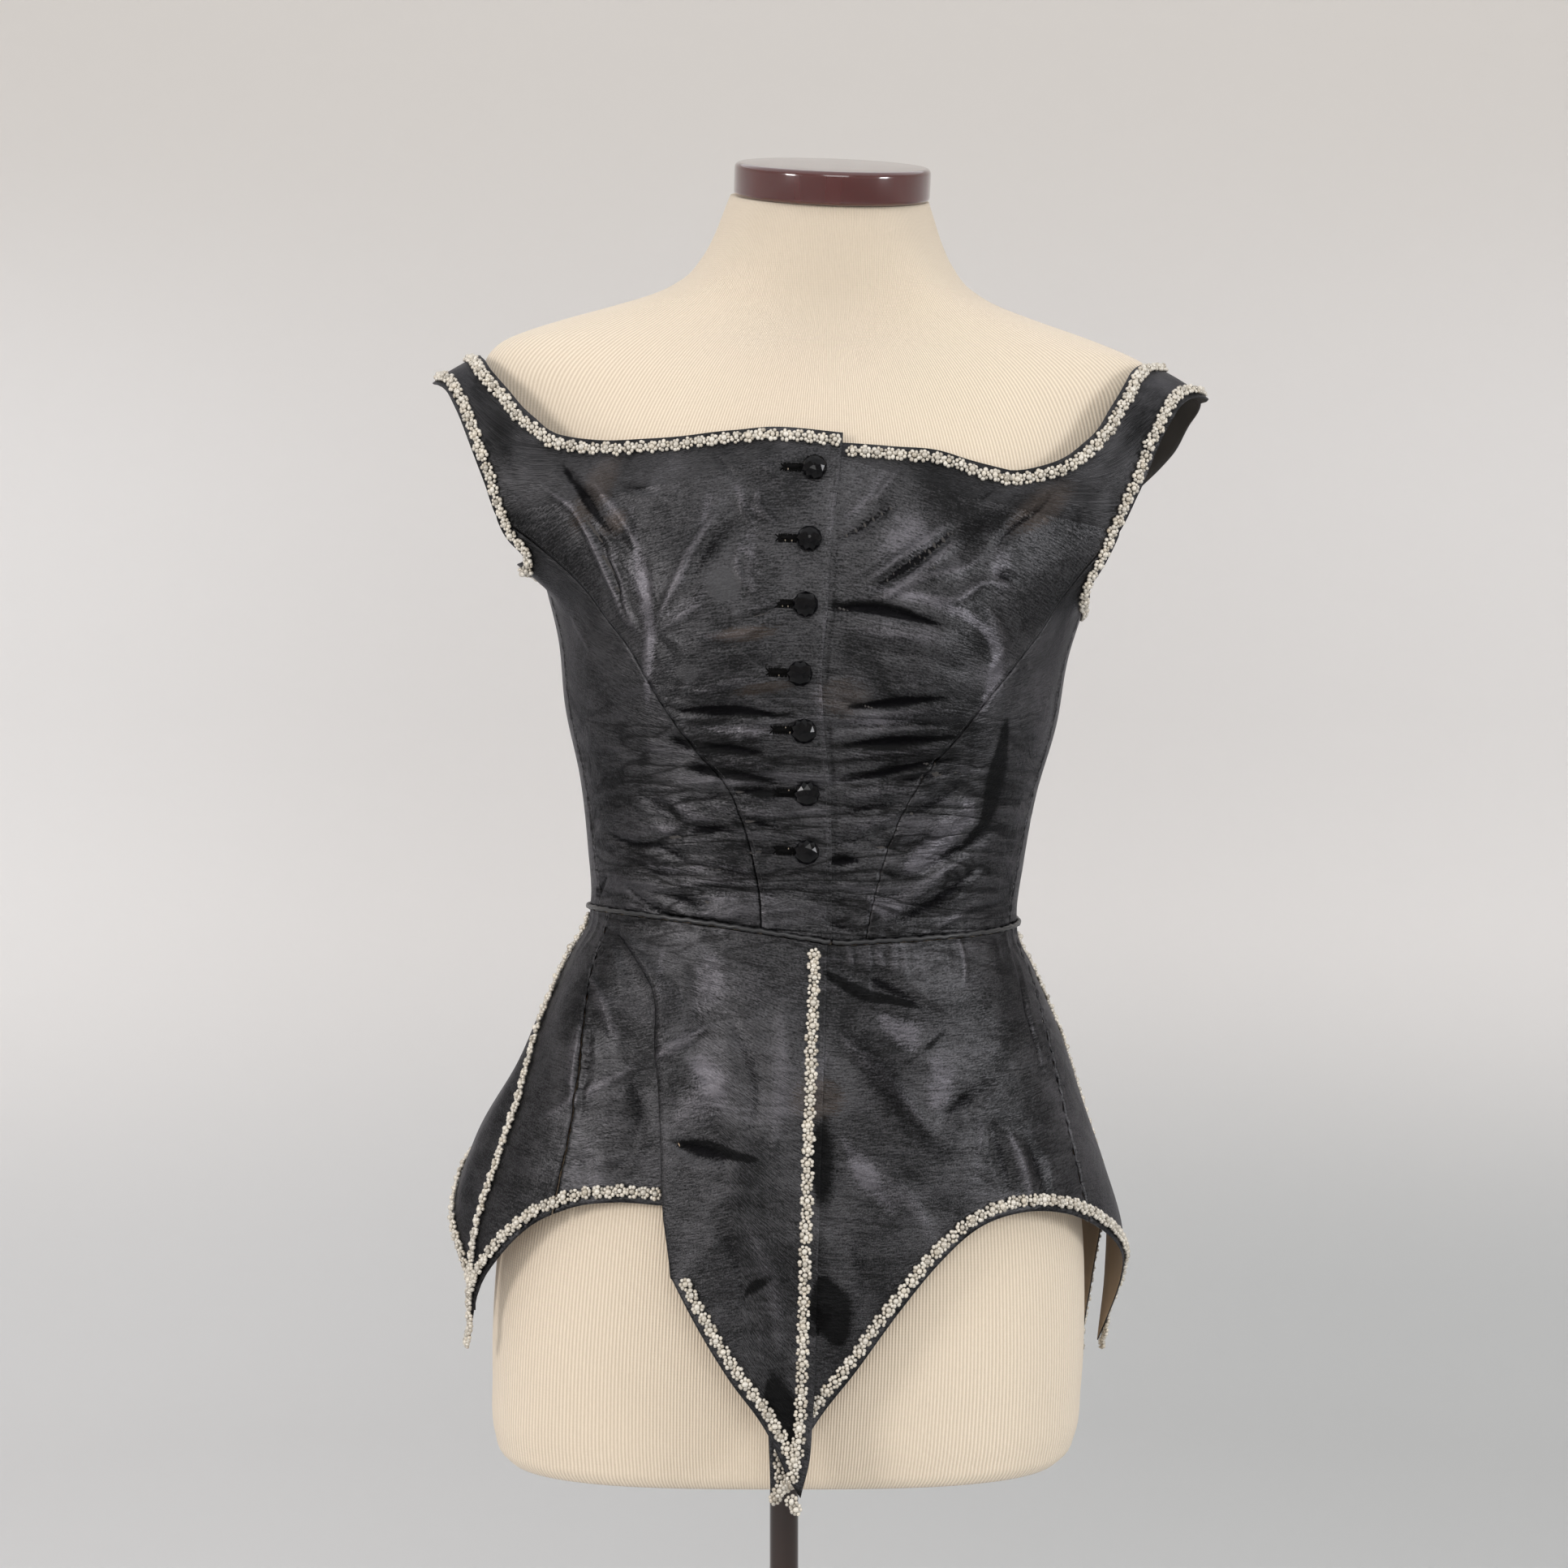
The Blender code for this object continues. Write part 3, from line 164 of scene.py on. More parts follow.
# Creases in the silk, placed on the photo. Each row: depth in mm (minus for a trough), half width in
# mm, then its places in the photo's pixels, across and down.
BODICE_CREASES = [
    (-2.2, 3.4, [(826, 876), (884, 876), (935, 878), (968, 887)]),
    (-0.9, 1.6, [(857, 898), (894, 893), (949, 891)]), (-1.8, 2.6, [(867, 921), (904, 922), (949, 930)]),
    (-0.9, 1.5, [(916, 913), (947, 915)]), (-1.5, 2.2, [(890, 952), (925, 957), (961, 966)]),
    (-1.5, 1.9, [(904, 978), (935, 972), (961, 974)]), (-1.4, 4, [(826, 907), (855, 927)]),
    (-1.5, 4.6, [(848, 946), (886, 951)]), (-1.2, 3.4, [(866, 982), (897, 982)]),
    (-1.5, 3.2, [(918, 1010), (963, 1021)]), (-1.8, 3.6, [(820, 1034), (863, 1023), (916, 1024)]),
    (-1.1, 1.7, [(892, 1050), (969, 1052)]),
    (-1.9, 2.2, [(743, 1023), (782, 1040), (814, 1044), (835, 1056), (859, 1072)]),
    (-1.3, 2, [(867, 1069), (894, 1074), (931, 1083), (969, 1074)]),
    (-1.2, 3.6, [(777, 1062), (814, 1076), (849, 1083)]),
    (-1.5, 3.6, [(810, 1103), (833, 1105), (866, 1115), (884, 1106)]),
    (-1.2, 2.6, [(863, 1095), (896, 1101), (912, 1108)]),
    (-1.1, 2.2, [(937, 1104), (971, 1099), (1004, 1092)]),
    (-1.6, 2, [(763, 1082), (782, 1101), (802, 1117), (843, 1137), (910, 1145)]),
    (-1.8, 2.6, [(747, 1078), (738, 1100), (735, 1110)]),
    (1.1, 5, [(812, 982), (851, 1003), (886, 1012)]), (-1.2, 5.5, [(790, 980), (838, 1006)]),
    (1, 4.5, [(800, 1017), (880, 1036)]), (1, 3, [(884, 906), (960, 910)]),
    (0.9, 2.6, [(880, 940), (955, 944)]), (0.9, 3.6, [(900, 1000), (968, 1003)]),
    (0.9, 3, [(830, 1090), (905, 1086), (950, 1092)]),
    (0.9, 3.6, [(850, 1126), (940, 1124), (990, 1118)]),
    (-2, 3.2, [(1046, 873), (1102, 866), (1180, 860)]),
    (-1.2, 1.5, [(1020, 898), (1092, 894), (1183, 893)]),
    (-2, 3.2, [(1046, 918), (1102, 914), (1169, 912)]),
    (-1.8, 2.6, [(1022, 964), (1071, 956), (1136, 942), (1182, 935)]),
    (-1.3, 2.2, [(1079, 962), (1124, 962), (1177, 952), (1202, 956)]),
    (-1.4, 2.4, [(1036, 1005), (1071, 995), (1112, 990)]), (-1.2, 1.5, [(1024, 1040), (1086, 1032)]),
    (-1, 1.5, [(1051, 1043), (1112, 1046), (1132, 1045)]),
    (-2, 3, [(1022, 1063), (1042, 1061), (1064, 1059)]), (-1.2, 3.2, [(1081, 1073), (1118, 1083)]),
    (-1.2, 4.2, [(1106, 1012), (1150, 992), (1196, 962)]),
    (-1.3, 5, [(1134, 1079), (1165, 1056), (1228, 1022)]),
    (-1.5, 4.6, [(1098, 1142), (1153, 1111), (1212, 1063)]),
    (1, 2.8, [(1150, 1146), (1180, 1128), (1214, 1106)]),
    (-1, 1.5, [(1206, 1125), (1222, 1118), (1238, 1115)]), (-1.5, 2, [(1020, 1138), (1056, 1147)]),
    (1.2, 5.5, [(1096, 1032), (1150, 1020), (1206, 990)]),
    (1.1, 4, [(1092, 1128), (1130, 1096), (1200, 1048)]),
    (0.9, 2.2, [(1040, 884), (1120, 878), (1190, 876)]),
    (0.9, 2.4, [(1040, 936), (1100, 930), (1160, 923)]),
    (0.9, 2.4, [(1040, 982), (1090, 976), (1126, 972)]),
    (0.8, 2.4, [(1030, 1022), (1080, 1014), (1100, 1008)]), (0.8, 3, [(1030, 1090), (1066, 1086)]),
    (-1.5, 1.9, [(1026, 666), (1057, 652), (1086, 632), (1112, 621)]),
    (-1.9, 2.7, [(1075, 727), (1132, 687), (1181, 650)]),
    (1.2, 2.2, [(1068, 716), (1125, 676), (1172, 642)]),
    (1.2, 2.2, [(1086, 738), (1140, 698), (1188, 660)]),
    (-2.5, 3.2, [(1018, 750), (1077, 750), (1124, 760), (1172, 776)]),
    (-1.2, 2.2, [(1206, 618), (1230, 599)]), (-1, 1.8, [(1243, 618), (1261, 601)]),
    (-1.4, 2.6, [(1224, 679), (1255, 646), (1277, 632), (1304, 604)]),
    (-1.5, 3.2, [(1226, 705), (1253, 717)]),
    (1.2, 2.6, [(1092, 737), (1136, 713), (1204, 691), (1216, 676)]),
    (1.1, 2.8, [(1136, 736), (1177, 738), (1214, 719), (1252, 722)]),
    (-0.8, 2.6, [(1032, 646), (1051, 613)]), (0.9, 1.6, [(1073, 622), (1100, 587), (1110, 571)]),
    (-0.8, 1.2, [(1014, 832), (1047, 833)]), (1, 5.5, [(1214, 744), (1234, 805), (1222, 830)]),
    (-0.9, 5, [(1060, 800), (1130, 806), (1190, 830)]), (0.8, 4, [(1040, 775), (1100, 780), (1150, 800)]),
    (-1.8, 4, [(697, 574), (718, 607), (739, 640), (765, 671)]),
    (1.5, 2.4, [(664, 595), (706, 626), (734, 673), (752, 718), (772, 763), (787, 780)]),
    (-1.5, 2.2, [(711, 628), (730, 654), (753, 706), (766, 734)]),
    (1.2, 1.9, [(739, 673), (763, 711), (772, 749), (786, 777)]),
    (1.2, 2.8, [(730, 591), (758, 626), (781, 666), (781, 688)]),
    (-1.2, 1.9, [(760, 598), (786, 602), (811, 602)]), (0.5, 1.6, [(764, 592), (786, 583), (812, 590)]),
    (1.3, 3.6, [(885, 628), (848, 687), (819, 744), (804, 774)]),
    (-1, 5.2, [(907, 638), (871, 678), (843, 735)]), (1, 1.4, [(916, 595), (914, 626), (930, 648)]),
    (1, 1.4, [(933, 598), (935, 628), (959, 650)]), (-1, 1.8, [(881, 560), (904, 586)]),
    (0.8, 1.5, [(928, 569), (956, 581)]), (1, 1.4, [(914, 666), (909, 702), (933, 735)]),
    (0.8, 1.3, [(925, 670), (921, 702), (935, 730)]), (1, 2.6, [(866, 742), (833, 763), (810, 780)]),
    (-1, 1.3, [(925, 761), (965, 749)]), (0.7, 1.3, [(900, 757), (960, 744)]),
    (1.2, 3.2, [(859, 782), (900, 786), (940, 771)]), (-1, 2.6, [(872, 798), (914, 796)]),
    (-1, 1.2, [(932, 820), (964, 831)]), (-0.8, 1.1, [(928, 815), (955, 817)]),
    (1, 3.6, [(850, 860), (900, 841), (962, 846)]), (-0.8, 1.5, [(817, 857), (864, 862)]),
    (0.8, 2.8, [(706, 764), (727, 800)]), (1, 3.6, [(800, 784), (800, 831), (812, 852)]),
    (-0.8, 4.4, [(812, 787), (829, 815), (822, 845)]), (-0.8, 4, [(760, 660), (790, 700), (800, 740)]),
    (-0.9, 3, [(690, 560), (700, 600)]),
]
PEPLUM_CREASES = [
    (-1.6, 5, [(828, 1408), (870, 1420), (905, 1432)]), (1.4, 4, [(800, 1310), (835, 1286), (872, 1264)]),
    (1.2, 9, [(830, 1385), (870, 1350), (900, 1325)]),
    (1.2, 4.6, [(725, 1200), (742, 1244), (760, 1290)]),
    (1.1, 5, [(714, 1255), (704, 1300), (702, 1356)]), (-1, 4, [(724, 1270), (716, 1330), (712, 1370)]),
    (1.1, 4, [(662, 1378), (720, 1345), (788, 1305)]), (-0.9, 2.6, [(680, 1402), (700, 1420)]),
    (-1, 2.6, [(700, 1432), (728, 1428)]), (-1, 2.8, [(742, 1440), (768, 1436)]),
    (-1, 5, [(770, 1420), (780, 1360), (768, 1320)]),
    (-1.4, 5, [(1022, 1190), (1090, 1214), (1162, 1250)]),
    (1.3, 5, [(1030, 1272), (1090, 1330), (1152, 1400)]),
    (-1.2, 5, [(1158, 1380), (1194, 1356), (1232, 1330)]),
    (-1.2, 4.6, [(1222, 1380), (1238, 1430), (1248, 1488)]),
    (1.2, 5, [(1244, 1390), (1262, 1440), (1274, 1486)]),
    (-1.2, 4.6, [(1266, 1400), (1284, 1440), (1296, 1484)]),
    (-1.3, 2.2, [(1252, 1175), (1268, 1240), (1290, 1327)]),
    (1, 6, [(1050, 1440), (1120, 1480), (1150, 1530)]),
    (-0.9, 6, [(1010, 1500), (1060, 1560), (1060, 1640)]),
    (-1, 6, [(900, 1250), (930, 1330), (925, 1420)]), (0.9, 6, [(960, 1230), (965, 1330), (950, 1430)]),
    (-0.9, 5, [(870, 1480), (900, 1540), (930, 1640)]), (0.9, 6, [(920, 1500), (950, 1580), (960, 1680)]),
    (-0.8, 3, [(850, 1180), (856, 1230), (862, 1262)]),
]
# Painted highlights on the silk, or painted shade with a minus, in the same form.
BODICE_PAINTED_LIGHT_ROWS = [
    (0.4, 12, [(1150, 622), (1110, 665), (1070, 705)]),
    (0.4, 11, [(1185, 655), (1135, 690), (1092, 722)]),
    (0.9, 3.4, [(1035, 722), (1090, 728), (1150, 740), (1200, 765), (1228, 800), (1222, 840),
         (1205, 880), (1195, 905)]), (0.6, 9, [(1232, 662), (1238, 700), (1228, 755)]),
    (0.35, 6, [(1040, 785), (1110, 780), (1180, 790)]),
    (0.35, 5, [(1030, 840), (1100, 838), (1180, 840)]),
    (1, 9, [(1185, 1005), (1150, 1040), (1112, 1078)]), (0.8, 6, [(1190, 985), (1205, 1020)]),
    (0.7, 5, [(1060, 1100), (1100, 1120), (1150, 1105)]),
    (0.5, 3.5, [(1050, 890), (1120, 888), (1190, 890)]),
    (0.5, 3, [(1045, 975), (1100, 970), (1150, 985)]),
    (0.7, 4.5, [(772, 600), (784, 660), (792, 720), (802, 790), (798, 850), (794, 890)]),
    (0.5, 5, [(872, 600), (866, 650), (848, 700), (830, 735)]),
    (0.45, 6, [(810, 760), (850, 745), (880, 690)]), (0.4, 5, [(830, 840), (890, 850), (960, 845)]),
    (0.5, 3.5, [(830, 893), (900, 898), (980, 895)]), (0.5, 3.2, [(850, 985), (900, 1000), (960, 1003)]),
    (0.6, 5.5, [(880, 1050), (920, 1085), (960, 1110)]),
    (0.45, 6, [(760, 1010), (800, 1060), (860, 1090)]), (0.4, 6, [(1010, 1100), (1015, 1140)]),
    (0.45, 8, [(740, 620), (760, 680), (790, 740)]), (0.4, 6, [(960, 600), (930, 640), (925, 700)]),
    (-0.7, 10, [(1290, 600), (1220, 645), (1130, 690)]), (-0.6, 9, [(895, 625), (872, 680), (850, 730)]),
    (-0.9, 9, [(1240, 880), (1228, 960), (1212, 1015), (1180, 1055)]),
    (-0.8, 6, [(1200, 1085), (1160, 1110), (1130, 1130)]),
    (-0.5, 8, [(795, 880), (792, 940), (788, 1000)]), (-0.6, 5, [(700, 570), (730, 620), (765, 675)]),
    (-1.4, 3, [(1022, 744), (1085, 747), (1130, 758), (1160, 772)]),
    (-1.4, 2.8, [(1040, 872), (1100, 868), (1165, 862)]),
    (-1.5, 3.2, [(1030, 920), (1100, 915), (1192, 907)]),
    (-1.2, 2.2, [(1032, 957), (1110, 948), (1190, 932)]),
    (-1.3, 2.4, [(853, 876), (920, 878), (990, 881)]), (-1.3, 2.6, [(822, 910), (870, 922), (940, 927)]),
    (-1.3, 2.6, [(838, 945), (890, 953), (965, 964)]), (-1.2, 3, [(900, 972), (960, 978), (990, 972)]),
    (-1, 2.2, [(850, 1028), (880, 1022), (905, 1018)]),
    (-0.7, 1.6, [(742, 1040), (800, 1052), (850, 1072)]),
    (-0.7, 1.6, [(800, 1075), (860, 1090), (930, 1092)]),
    (-0.8, 1.8, [(742, 1090), (800, 1118), (880, 1138), (960, 1142)]),
    (-0.6, 10, [(585, 462), (622, 540), (648, 610)]), (-0.6, 12, [(1412, 495), (1385, 555), (1345, 600)]),
    (-0.5, 18, [(1345, 600), (1318, 670)]), (0.35, 9, [(1015, 840), (1020, 890)]),
    (-1.1, 5, [(1242, 880), (1230, 940), (1216, 1005), (1180, 1055)]),
    (-0.5, 9, [(815, 922), (880, 936), (970, 948)]),
    (0.7, 7, [(1180, 745), (1228, 795), (1226, 840), (1198, 900)]),
    (0.5, 9, [(1110, 1080), (1150, 1045), (1190, 1010)]),
    (0.6, 7, [(1060, 1132), (1095, 1113), (1125, 1093)]),
    (0.5, 4.5, [(792, 690), (799, 770), (797, 850), (802, 895)]),
    (-0.6, 1.6, [(1041, 572), (1031, 665), (1027, 750), (1019, 830), (1022, 900), (1028, 970),
         (1030, 1050), (1027, 1150)]),
    (0.3, 1.6, [(1031, 572), (1021, 665), (1017, 750), (1009, 830), (1012, 900), (1018, 970),
         (1020, 1050), (1017, 1150)]), (-0.7, 4, [(1030, 938), (1100, 932), (1175, 925)]),
    (-1.3, 3.2, [(1022, 1060), (1040, 1058), (1055, 1062)]),
    (0.5, 4, [(1035, 890), (1100, 885), (1170, 878)]), (0.5, 4, [(870, 898), (920, 900), (985, 902)]),
    (0.5, 3, [(905, 590), (918, 620), (945, 640), (965, 655)]),
    (0.5, 3, [(905, 670), (930, 690), (935, 720)]), (0.4, 3, [(1040, 640), (1070, 615), (1085, 590)]),
    (0.5, 3.5, [(1040, 1030), (1080, 1012), (1120, 995)]),
    (0.5, 3, [(860, 1045), (920, 1040), (975, 1050)]), (0.5, 3, [(820, 1075), (880, 1068), (950, 1078)]),
    (0.4, 3, [(840, 1110), (900, 1105), (960, 1112)]),
]
PEPLUM_PAINTED_LIGHT_ROWS = [
    (0.7, 13, [(860, 1300), (868, 1350), (872, 1395)]),
    (0.5, 12, [(880, 1170), (870, 1230), (850, 1270)]), (0.4, 9, [(930, 1180), (935, 1260)]),
    (0.8, 8, [(1085, 1245), (1115, 1285), (1145, 1300)]),
    (0.6, 9, [(1150, 1300), (1160, 1350), (1140, 1370)]),
    (0.7, 5, [(1033, 1395), (1065, 1445), (1105, 1500)]), (0.5, 4, [(1150, 1420), (1185, 1455)]),
    (0.5, 3, [(1255, 1180), (1275, 1260), (1290, 1330)]),
    (0.4, 3, [(1240, 1300), (1215, 1370), (1205, 1460)]),
    (0.4, 3, [(680, 1370), (730, 1345), (785, 1315)]), (0.45, 3, [(745, 1200), (765, 1280), (770, 1330)]),
    (0.5, 4, [(815, 1160), (812, 1250), (818, 1330)]), (0.3, 6, [(900, 1500), (905, 1560), (890, 1590)]),
    (-0.8, 15, [(1040, 1250), (1090, 1330), (1150, 1410), (1195, 1470)]),
    (-0.9, 9, [(1017, 1370), (1015, 1430), (1020, 1500)]),
    (-1, 13, [(1010, 1570), (1030, 1620), (1040, 1665)]),
    (-0.9, 9, [(950, 1680), (965, 1730), (972, 1770)]),
    (-0.6, 8, [(770, 1330), (785, 1390), (790, 1440)]), (-0.5, 7, [(1320, 1400), (1340, 1470)]),
    (-1.4, 2.8, [(1012, 1195), (1055, 1222), (1100, 1232), (1142, 1243)]),
    (-0.9, 2.6, [(1168, 1268), (1145, 1290), (1115, 1312)]),
    (-0.9, 3, [(1205, 1338), (1185, 1355), (1165, 1378)]),
    (-1.4, 3.2, [(828, 1408), (875, 1414), (935, 1432)]),
    (-1.2, 3.6, [(915, 1597), (932, 1582), (955, 1572)]),
    (-0.5, 20, [(740, 1290), (745, 1350), (750, 1420)]), (-0.45, 17, [(1195, 1175), (1225, 1260)]),
    (-0.5, 12, [(640, 1420), (680, 1300)]), (-1.2, 8, [(978, 1795), (962, 1740), (945, 1700)]),
    (-1.2, 9, [(1012, 1575), (1020, 1620), (1035, 1660)]),
    (-0.6, 5, [(1006, 1380), (1008, 1440), (1008, 1500)]),
    (0.5, 8, [(1075, 1248), (1115, 1266), (1150, 1250)]),
    (0.3, 12, [(1120, 1330), (1150, 1370), (1180, 1400)]),
    (0.45, 9, [(1040, 1400), (1075, 1450), (1115, 1500)]),
    (-1, 2.6, [(1014, 1193), (1050, 1214), (1075, 1228), (1110, 1232), (1142, 1242)]),
    (-1, 2.6, [(836, 1409), (870, 1412), (900, 1424), (940, 1430)]),
]
# Creases on the sides and back, for the wearer's left. The right side takes them a little shifted.
HIDDEN_BODICE_CREASES = [
    (-1.6, 2.6, [(96, 330), (112, 336), (128, 334)]), (-1.4, 3.4, [(104, 352), (126, 358), (146, 350)]),
    (1.0, 3.0, [(92, 342), (118, 347), (140, 342)]), (-1.2, 2.4, [(84, 372), (98, 378), (112, 376)]),
    (-1.5, 3.0, [(132, 376), (150, 382), (168, 378)]), (-1.1, 2.2, [(150, 340), (164, 346), (176, 344)]),
    (1.1, 4.0, [(124, 402), (142, 396), (160, 400)]), (-1.2, 4.6, [(88, 420), (104, 440), (116, 468)]),
    (1.0, 4.0, [(96, 410), (114, 430), (126, 452)]), (-1.0, 3.6, [(140, 470), (156, 500), (166, 540)]),
    (-1.3, 3.0, [(118, 574), (106, 590), (98, 604)]), (1.0, 4.0, [(128, 560), (114, 582), (104, 600)]),
    (-1.0, 2.2, [(158, 420), (168, 424), (178, 420)]), (-1.2, 3.2, [(100, 318), (122, 321), (144, 319)]),
]
HIDDEN_PEPLUM_CREASES = [
    (-1.2, 5.0, [(116, 280), (120, 250), (124, 210)]), (1.2, 6.0, [(128, 286), (132, 240), (136, 190)]),
    (-1.2, 6.0, [(146, 270), (150, 220), (150, 160)]), (1.0, 6.0, [(160, 260), (164, 200), (168, 130)]),
    (-1.0, 4.0, [(108, 190), (124, 200), (138, 196)]), (1.0, 5.0, [(112, 160), (126, 172), (142, 176)]),
]
# Gathers under the piping: first and last angle, how many, rise.
GATHERS = [(10, 48, 12, 1.3), (58, 86, 6, 0.8), (-58, -14, 6, 0.4), (-88, -66, 5, 0.7), (98, 176, 16, 1.2),
           (-176, -98, 16, 1.2)]
# How much deeper the creases are modelled than their tables say, and how far a trough may sink.
CREASE_GAIN, SINK = 1.35, 1.7
# A crease's least half width in mm, how far it runs on past its ends as a share of its length, and how far
# from its line it is worked out. Then a trough's lips, as a share of its depth: their place and breadth. All
# three distances are in half widths.
LEAST_WIDE, RUN_ON, CREASE_REACH = 2.0, 0.06, 3.2
LIP, LIP_AT, LIP_BROAD = 0.2, 1.9, 0.55
# Beside a seam, in mm: the groove's depth and reach, then the place and reach of the ridge and the puckers.
GROOVE, GROOVE_HALF, RIDGE_AT, RIDGE_HALF, PUCKER_AT, PUCKER_HALF = 0.3, 0.8, 2.6, 1.2, 2.2, 4.4
# The cloth's length for each unit of height, because it slants.
SLANT = 1.04
# Waves that add up to a seam's uneven pucker: phase for each unit of seed, pitch in mm.
PUCKER_WAVES = [(1.3, 5.9), (2.9, 8.3), (4.7, 13.1)]
# The height over which the princess seam's puckers fade out, how near to a trim the silk lies calm, and a
# distance that is out of reach of all of these.
FADE_FROM, FADE_TO = 440, 500
CALM_BODICE, CALM_PEPLUM, FAR = 8, 7, 99
# Rows of the flute's table between which the cloth is turned over, and the hem's height there.
TURN_FROM, TURN_TO, TURNED_HEM, TURNED_STEP = 4, 10, 119, 5.2
# How far along its panel's edge the neckline's trim starts. The left one starts clear of the overlap.
NECK_TRIM_START = {-1: 0.552, 1: 0.61}
SIDES = ((-1, "right"), (1, "left"))


def smooth(knots, values, at):
    """A cubic line through points, with each slope taken from the point's neighbours."""
    knots, values = np.asarray(knots, float), np.asarray(values, float)
    slope = np.gradient(values, knots)
    at = np.clip(at, knots[0], knots[-1])
    i = np.clip(np.searchsorted(knots, at, side="right") - 1, 0, len(knots) - 2)
    step = knots[i + 1] - knots[i]
    t = (at - knots[i]) / step
    return ((2 * t**3 - 3 * t**2 + 1) * values[i] + (t**3 - 2 * t**2 + t) * step * slope[i]
            + (3 * t**2 - 2 * t**3) * values[i + 1] + (t**3 - t**2) * step * slope[i + 1])


def ease(value, low, high):
    """0 below low, 1 above high, and a soft step between."""
    t = np.clip((value - low) / (high - low), 0, 1)
    return t * t * (3 - 2 * t)


def ring(rows, angle, height):
    """A point on a stack of rounded sections. Angle 0 is the front, and 90 the wearer's left side."""
    half, front, back, power = (smooth(rows[:, 0], rows[:, k], height) for k in range(1, 5))
    s, c = np.sin(np.radians(angle)), np.cos(np.radians(angle))
    reach = (np.abs(s / half) ** power + np.abs(c / np.where(c > 0, front, back)) ** power) ** (-1 / power)
    return np.stack([reach * s, -reach * c, height + 0 * reach], -1)


def body(angle, height):
    """The dress form: rounded sections, two bust mounds, a level underside and a neck that tips forward."""
    point = ring(BODY, angle, height)
    x, y, h = np.moveaxis(point, -1, 0)
    for side in (-BUST_OUT, BUST_OUT):
        mound = BUST_RISE * np.exp(-((x - side) / BUST_WIDE) ** 2 - ((h - BUST_HEIGHT) / BUST_TALL) ** 2)
        y = y - mound * ease(-y, 0, 60)
    h = h + math.tan(CAP_TILT) * ease(h, 668, NECK_TOP) * y + math.tan(LEAN) * (1 - ease(h, 0, 70)) * x
    return np.stack([x, y, h], -1)


def bodice(angle, height):
    """The bodice follows the form, and its straps stand out from the sides."""
    point = body(angle, height)
    from_side = np.abs(90 - np.abs(angle))
    height = np.asarray(height, float)
    right = np.asarray(angle) < 0
    level = height + STRAP_DROP * right
    underarm = 17 * ease(np.abs(angle), 68, 84) * ease(-height, -545, -520)
    front = smooth(FLARE[:, 0], FLARE[:, 1], level - underarm)
    back = smooth(FLARE_BACK[:, 0], FLARE_BACK[:, 1], level)
    behind = ease(np.abs(angle), 80, 96)
    out = (front + (back - front) * behind) * ease(-from_side, -54, -3)
    out = out * (1 + 0.22 * right * behind * ease(height, 575, 614))
    point[..., 0] += out * np.sign(np.sin(np.radians(angle)))
    return point


def skirt(angle, height):
    """The peplum: a flared shell with soft flutes that deepen towards the hem."""
    drop = ease(-height, -290, -60)
    wave = 3.2 * np.cos(np.radians(6 * angle + 20)) + 2.0 * np.sin(np.radians(9 * angle - 40))
    sides = ease(np.abs(angle), 30, 70)
    point = ring(SKIRT, angle, height)
    reach = np.hypot(point[..., 0], point[..., 1])
    point[..., :2] *= (1 + drop * sides * wave / reach)[..., None]
    return point


def outward(surface, angle, height):
    """The surface's unit normal."""
    across = surface(angle + 0.1, height) - surface(angle - 0.1, height)
    up = surface(angle, height + 0.2) - surface(angle, height - 0.2)
    return unit(np.cross(across, up))


def lifted(surface, angle, height, lift):
    """Points that stand off a surface."""
    return surface(angle, height) + outward(surface, angle, height) * np.asarray(lift)[..., None]


def stood(points):
    """From the garment's own frame to the scene, where it leans towards the wearer's left."""
    x, y, h = np.moveaxis(np.asarray(points, float), -1, 0)
    return MM * np.stack([x * math.cos(LEAN) + h * math.sin(LEAN), y,
                          TORSO_FLOOR + h * math.cos(LEAN) - x * math.sin(LEAN)], -1)


def angle_at(surface, x, height):
    """The angle at which the front of a surface reaches x."""
    turns = np.linspace(0, 90, 181)
    across = surface(turns * (1 if x >= 0 else -1), np.full(181, float(height)))[:, 0]
    return math.copysign(np.interp(abs(x), np.maximum.accumulate(np.abs(across)), turns), x)


def on_bodice(points):
    """Places on the bodice's front, from x and height to angle and height."""
    return [(angle_at(bodice, x, h), h) for x, h in points]


def waist(angle):
    """The waist seam's height."""
    return smooth(WAIST[:, 0], WAIST[:, 1], angle)


def line(points):
    """A smooth line through angles and heights, as a function of 0 to 1 along it."""
    points = np.array(points, float)
    steps = np.hypot(np.diff(points[:, 0]) * 2.1, np.diff(points[:, 1]))
    along = np.concatenate([[0], np.cumsum(steps)]) / steps.sum()
    return lambda t: np.stack([smooth(along, points[:, k], t) for k in (0, 1)], -1)


def joined(first, second, at):
    """Two lines end to end, the second taking over part way."""
    def both(t):
        t = np.asarray(t, float)
        low = first(np.clip(t / at, 0, 1))
        high = second(np.clip((t - at) / (1 - at), 0, 1))
        return np.where((t < at)[..., None], low, high)
    return both


def paced(path, power):
    """The same line, run slowly at first."""
    return lambda t: path(np.asarray(t, float) ** power)


def shifted(path, degrees):
    """The same line, further round."""
    return lambda t: path(t) + np.array([degrees, 0.0])


def along_waist(start, end):
    """A panel's lower edge, just above the waist seam."""
    def waistline(t):
        angle = start + (end - start) * np.asarray(t, float)
        return np.stack([angle, waist(angle) + WAIST_GAP], -1)
    return waistline


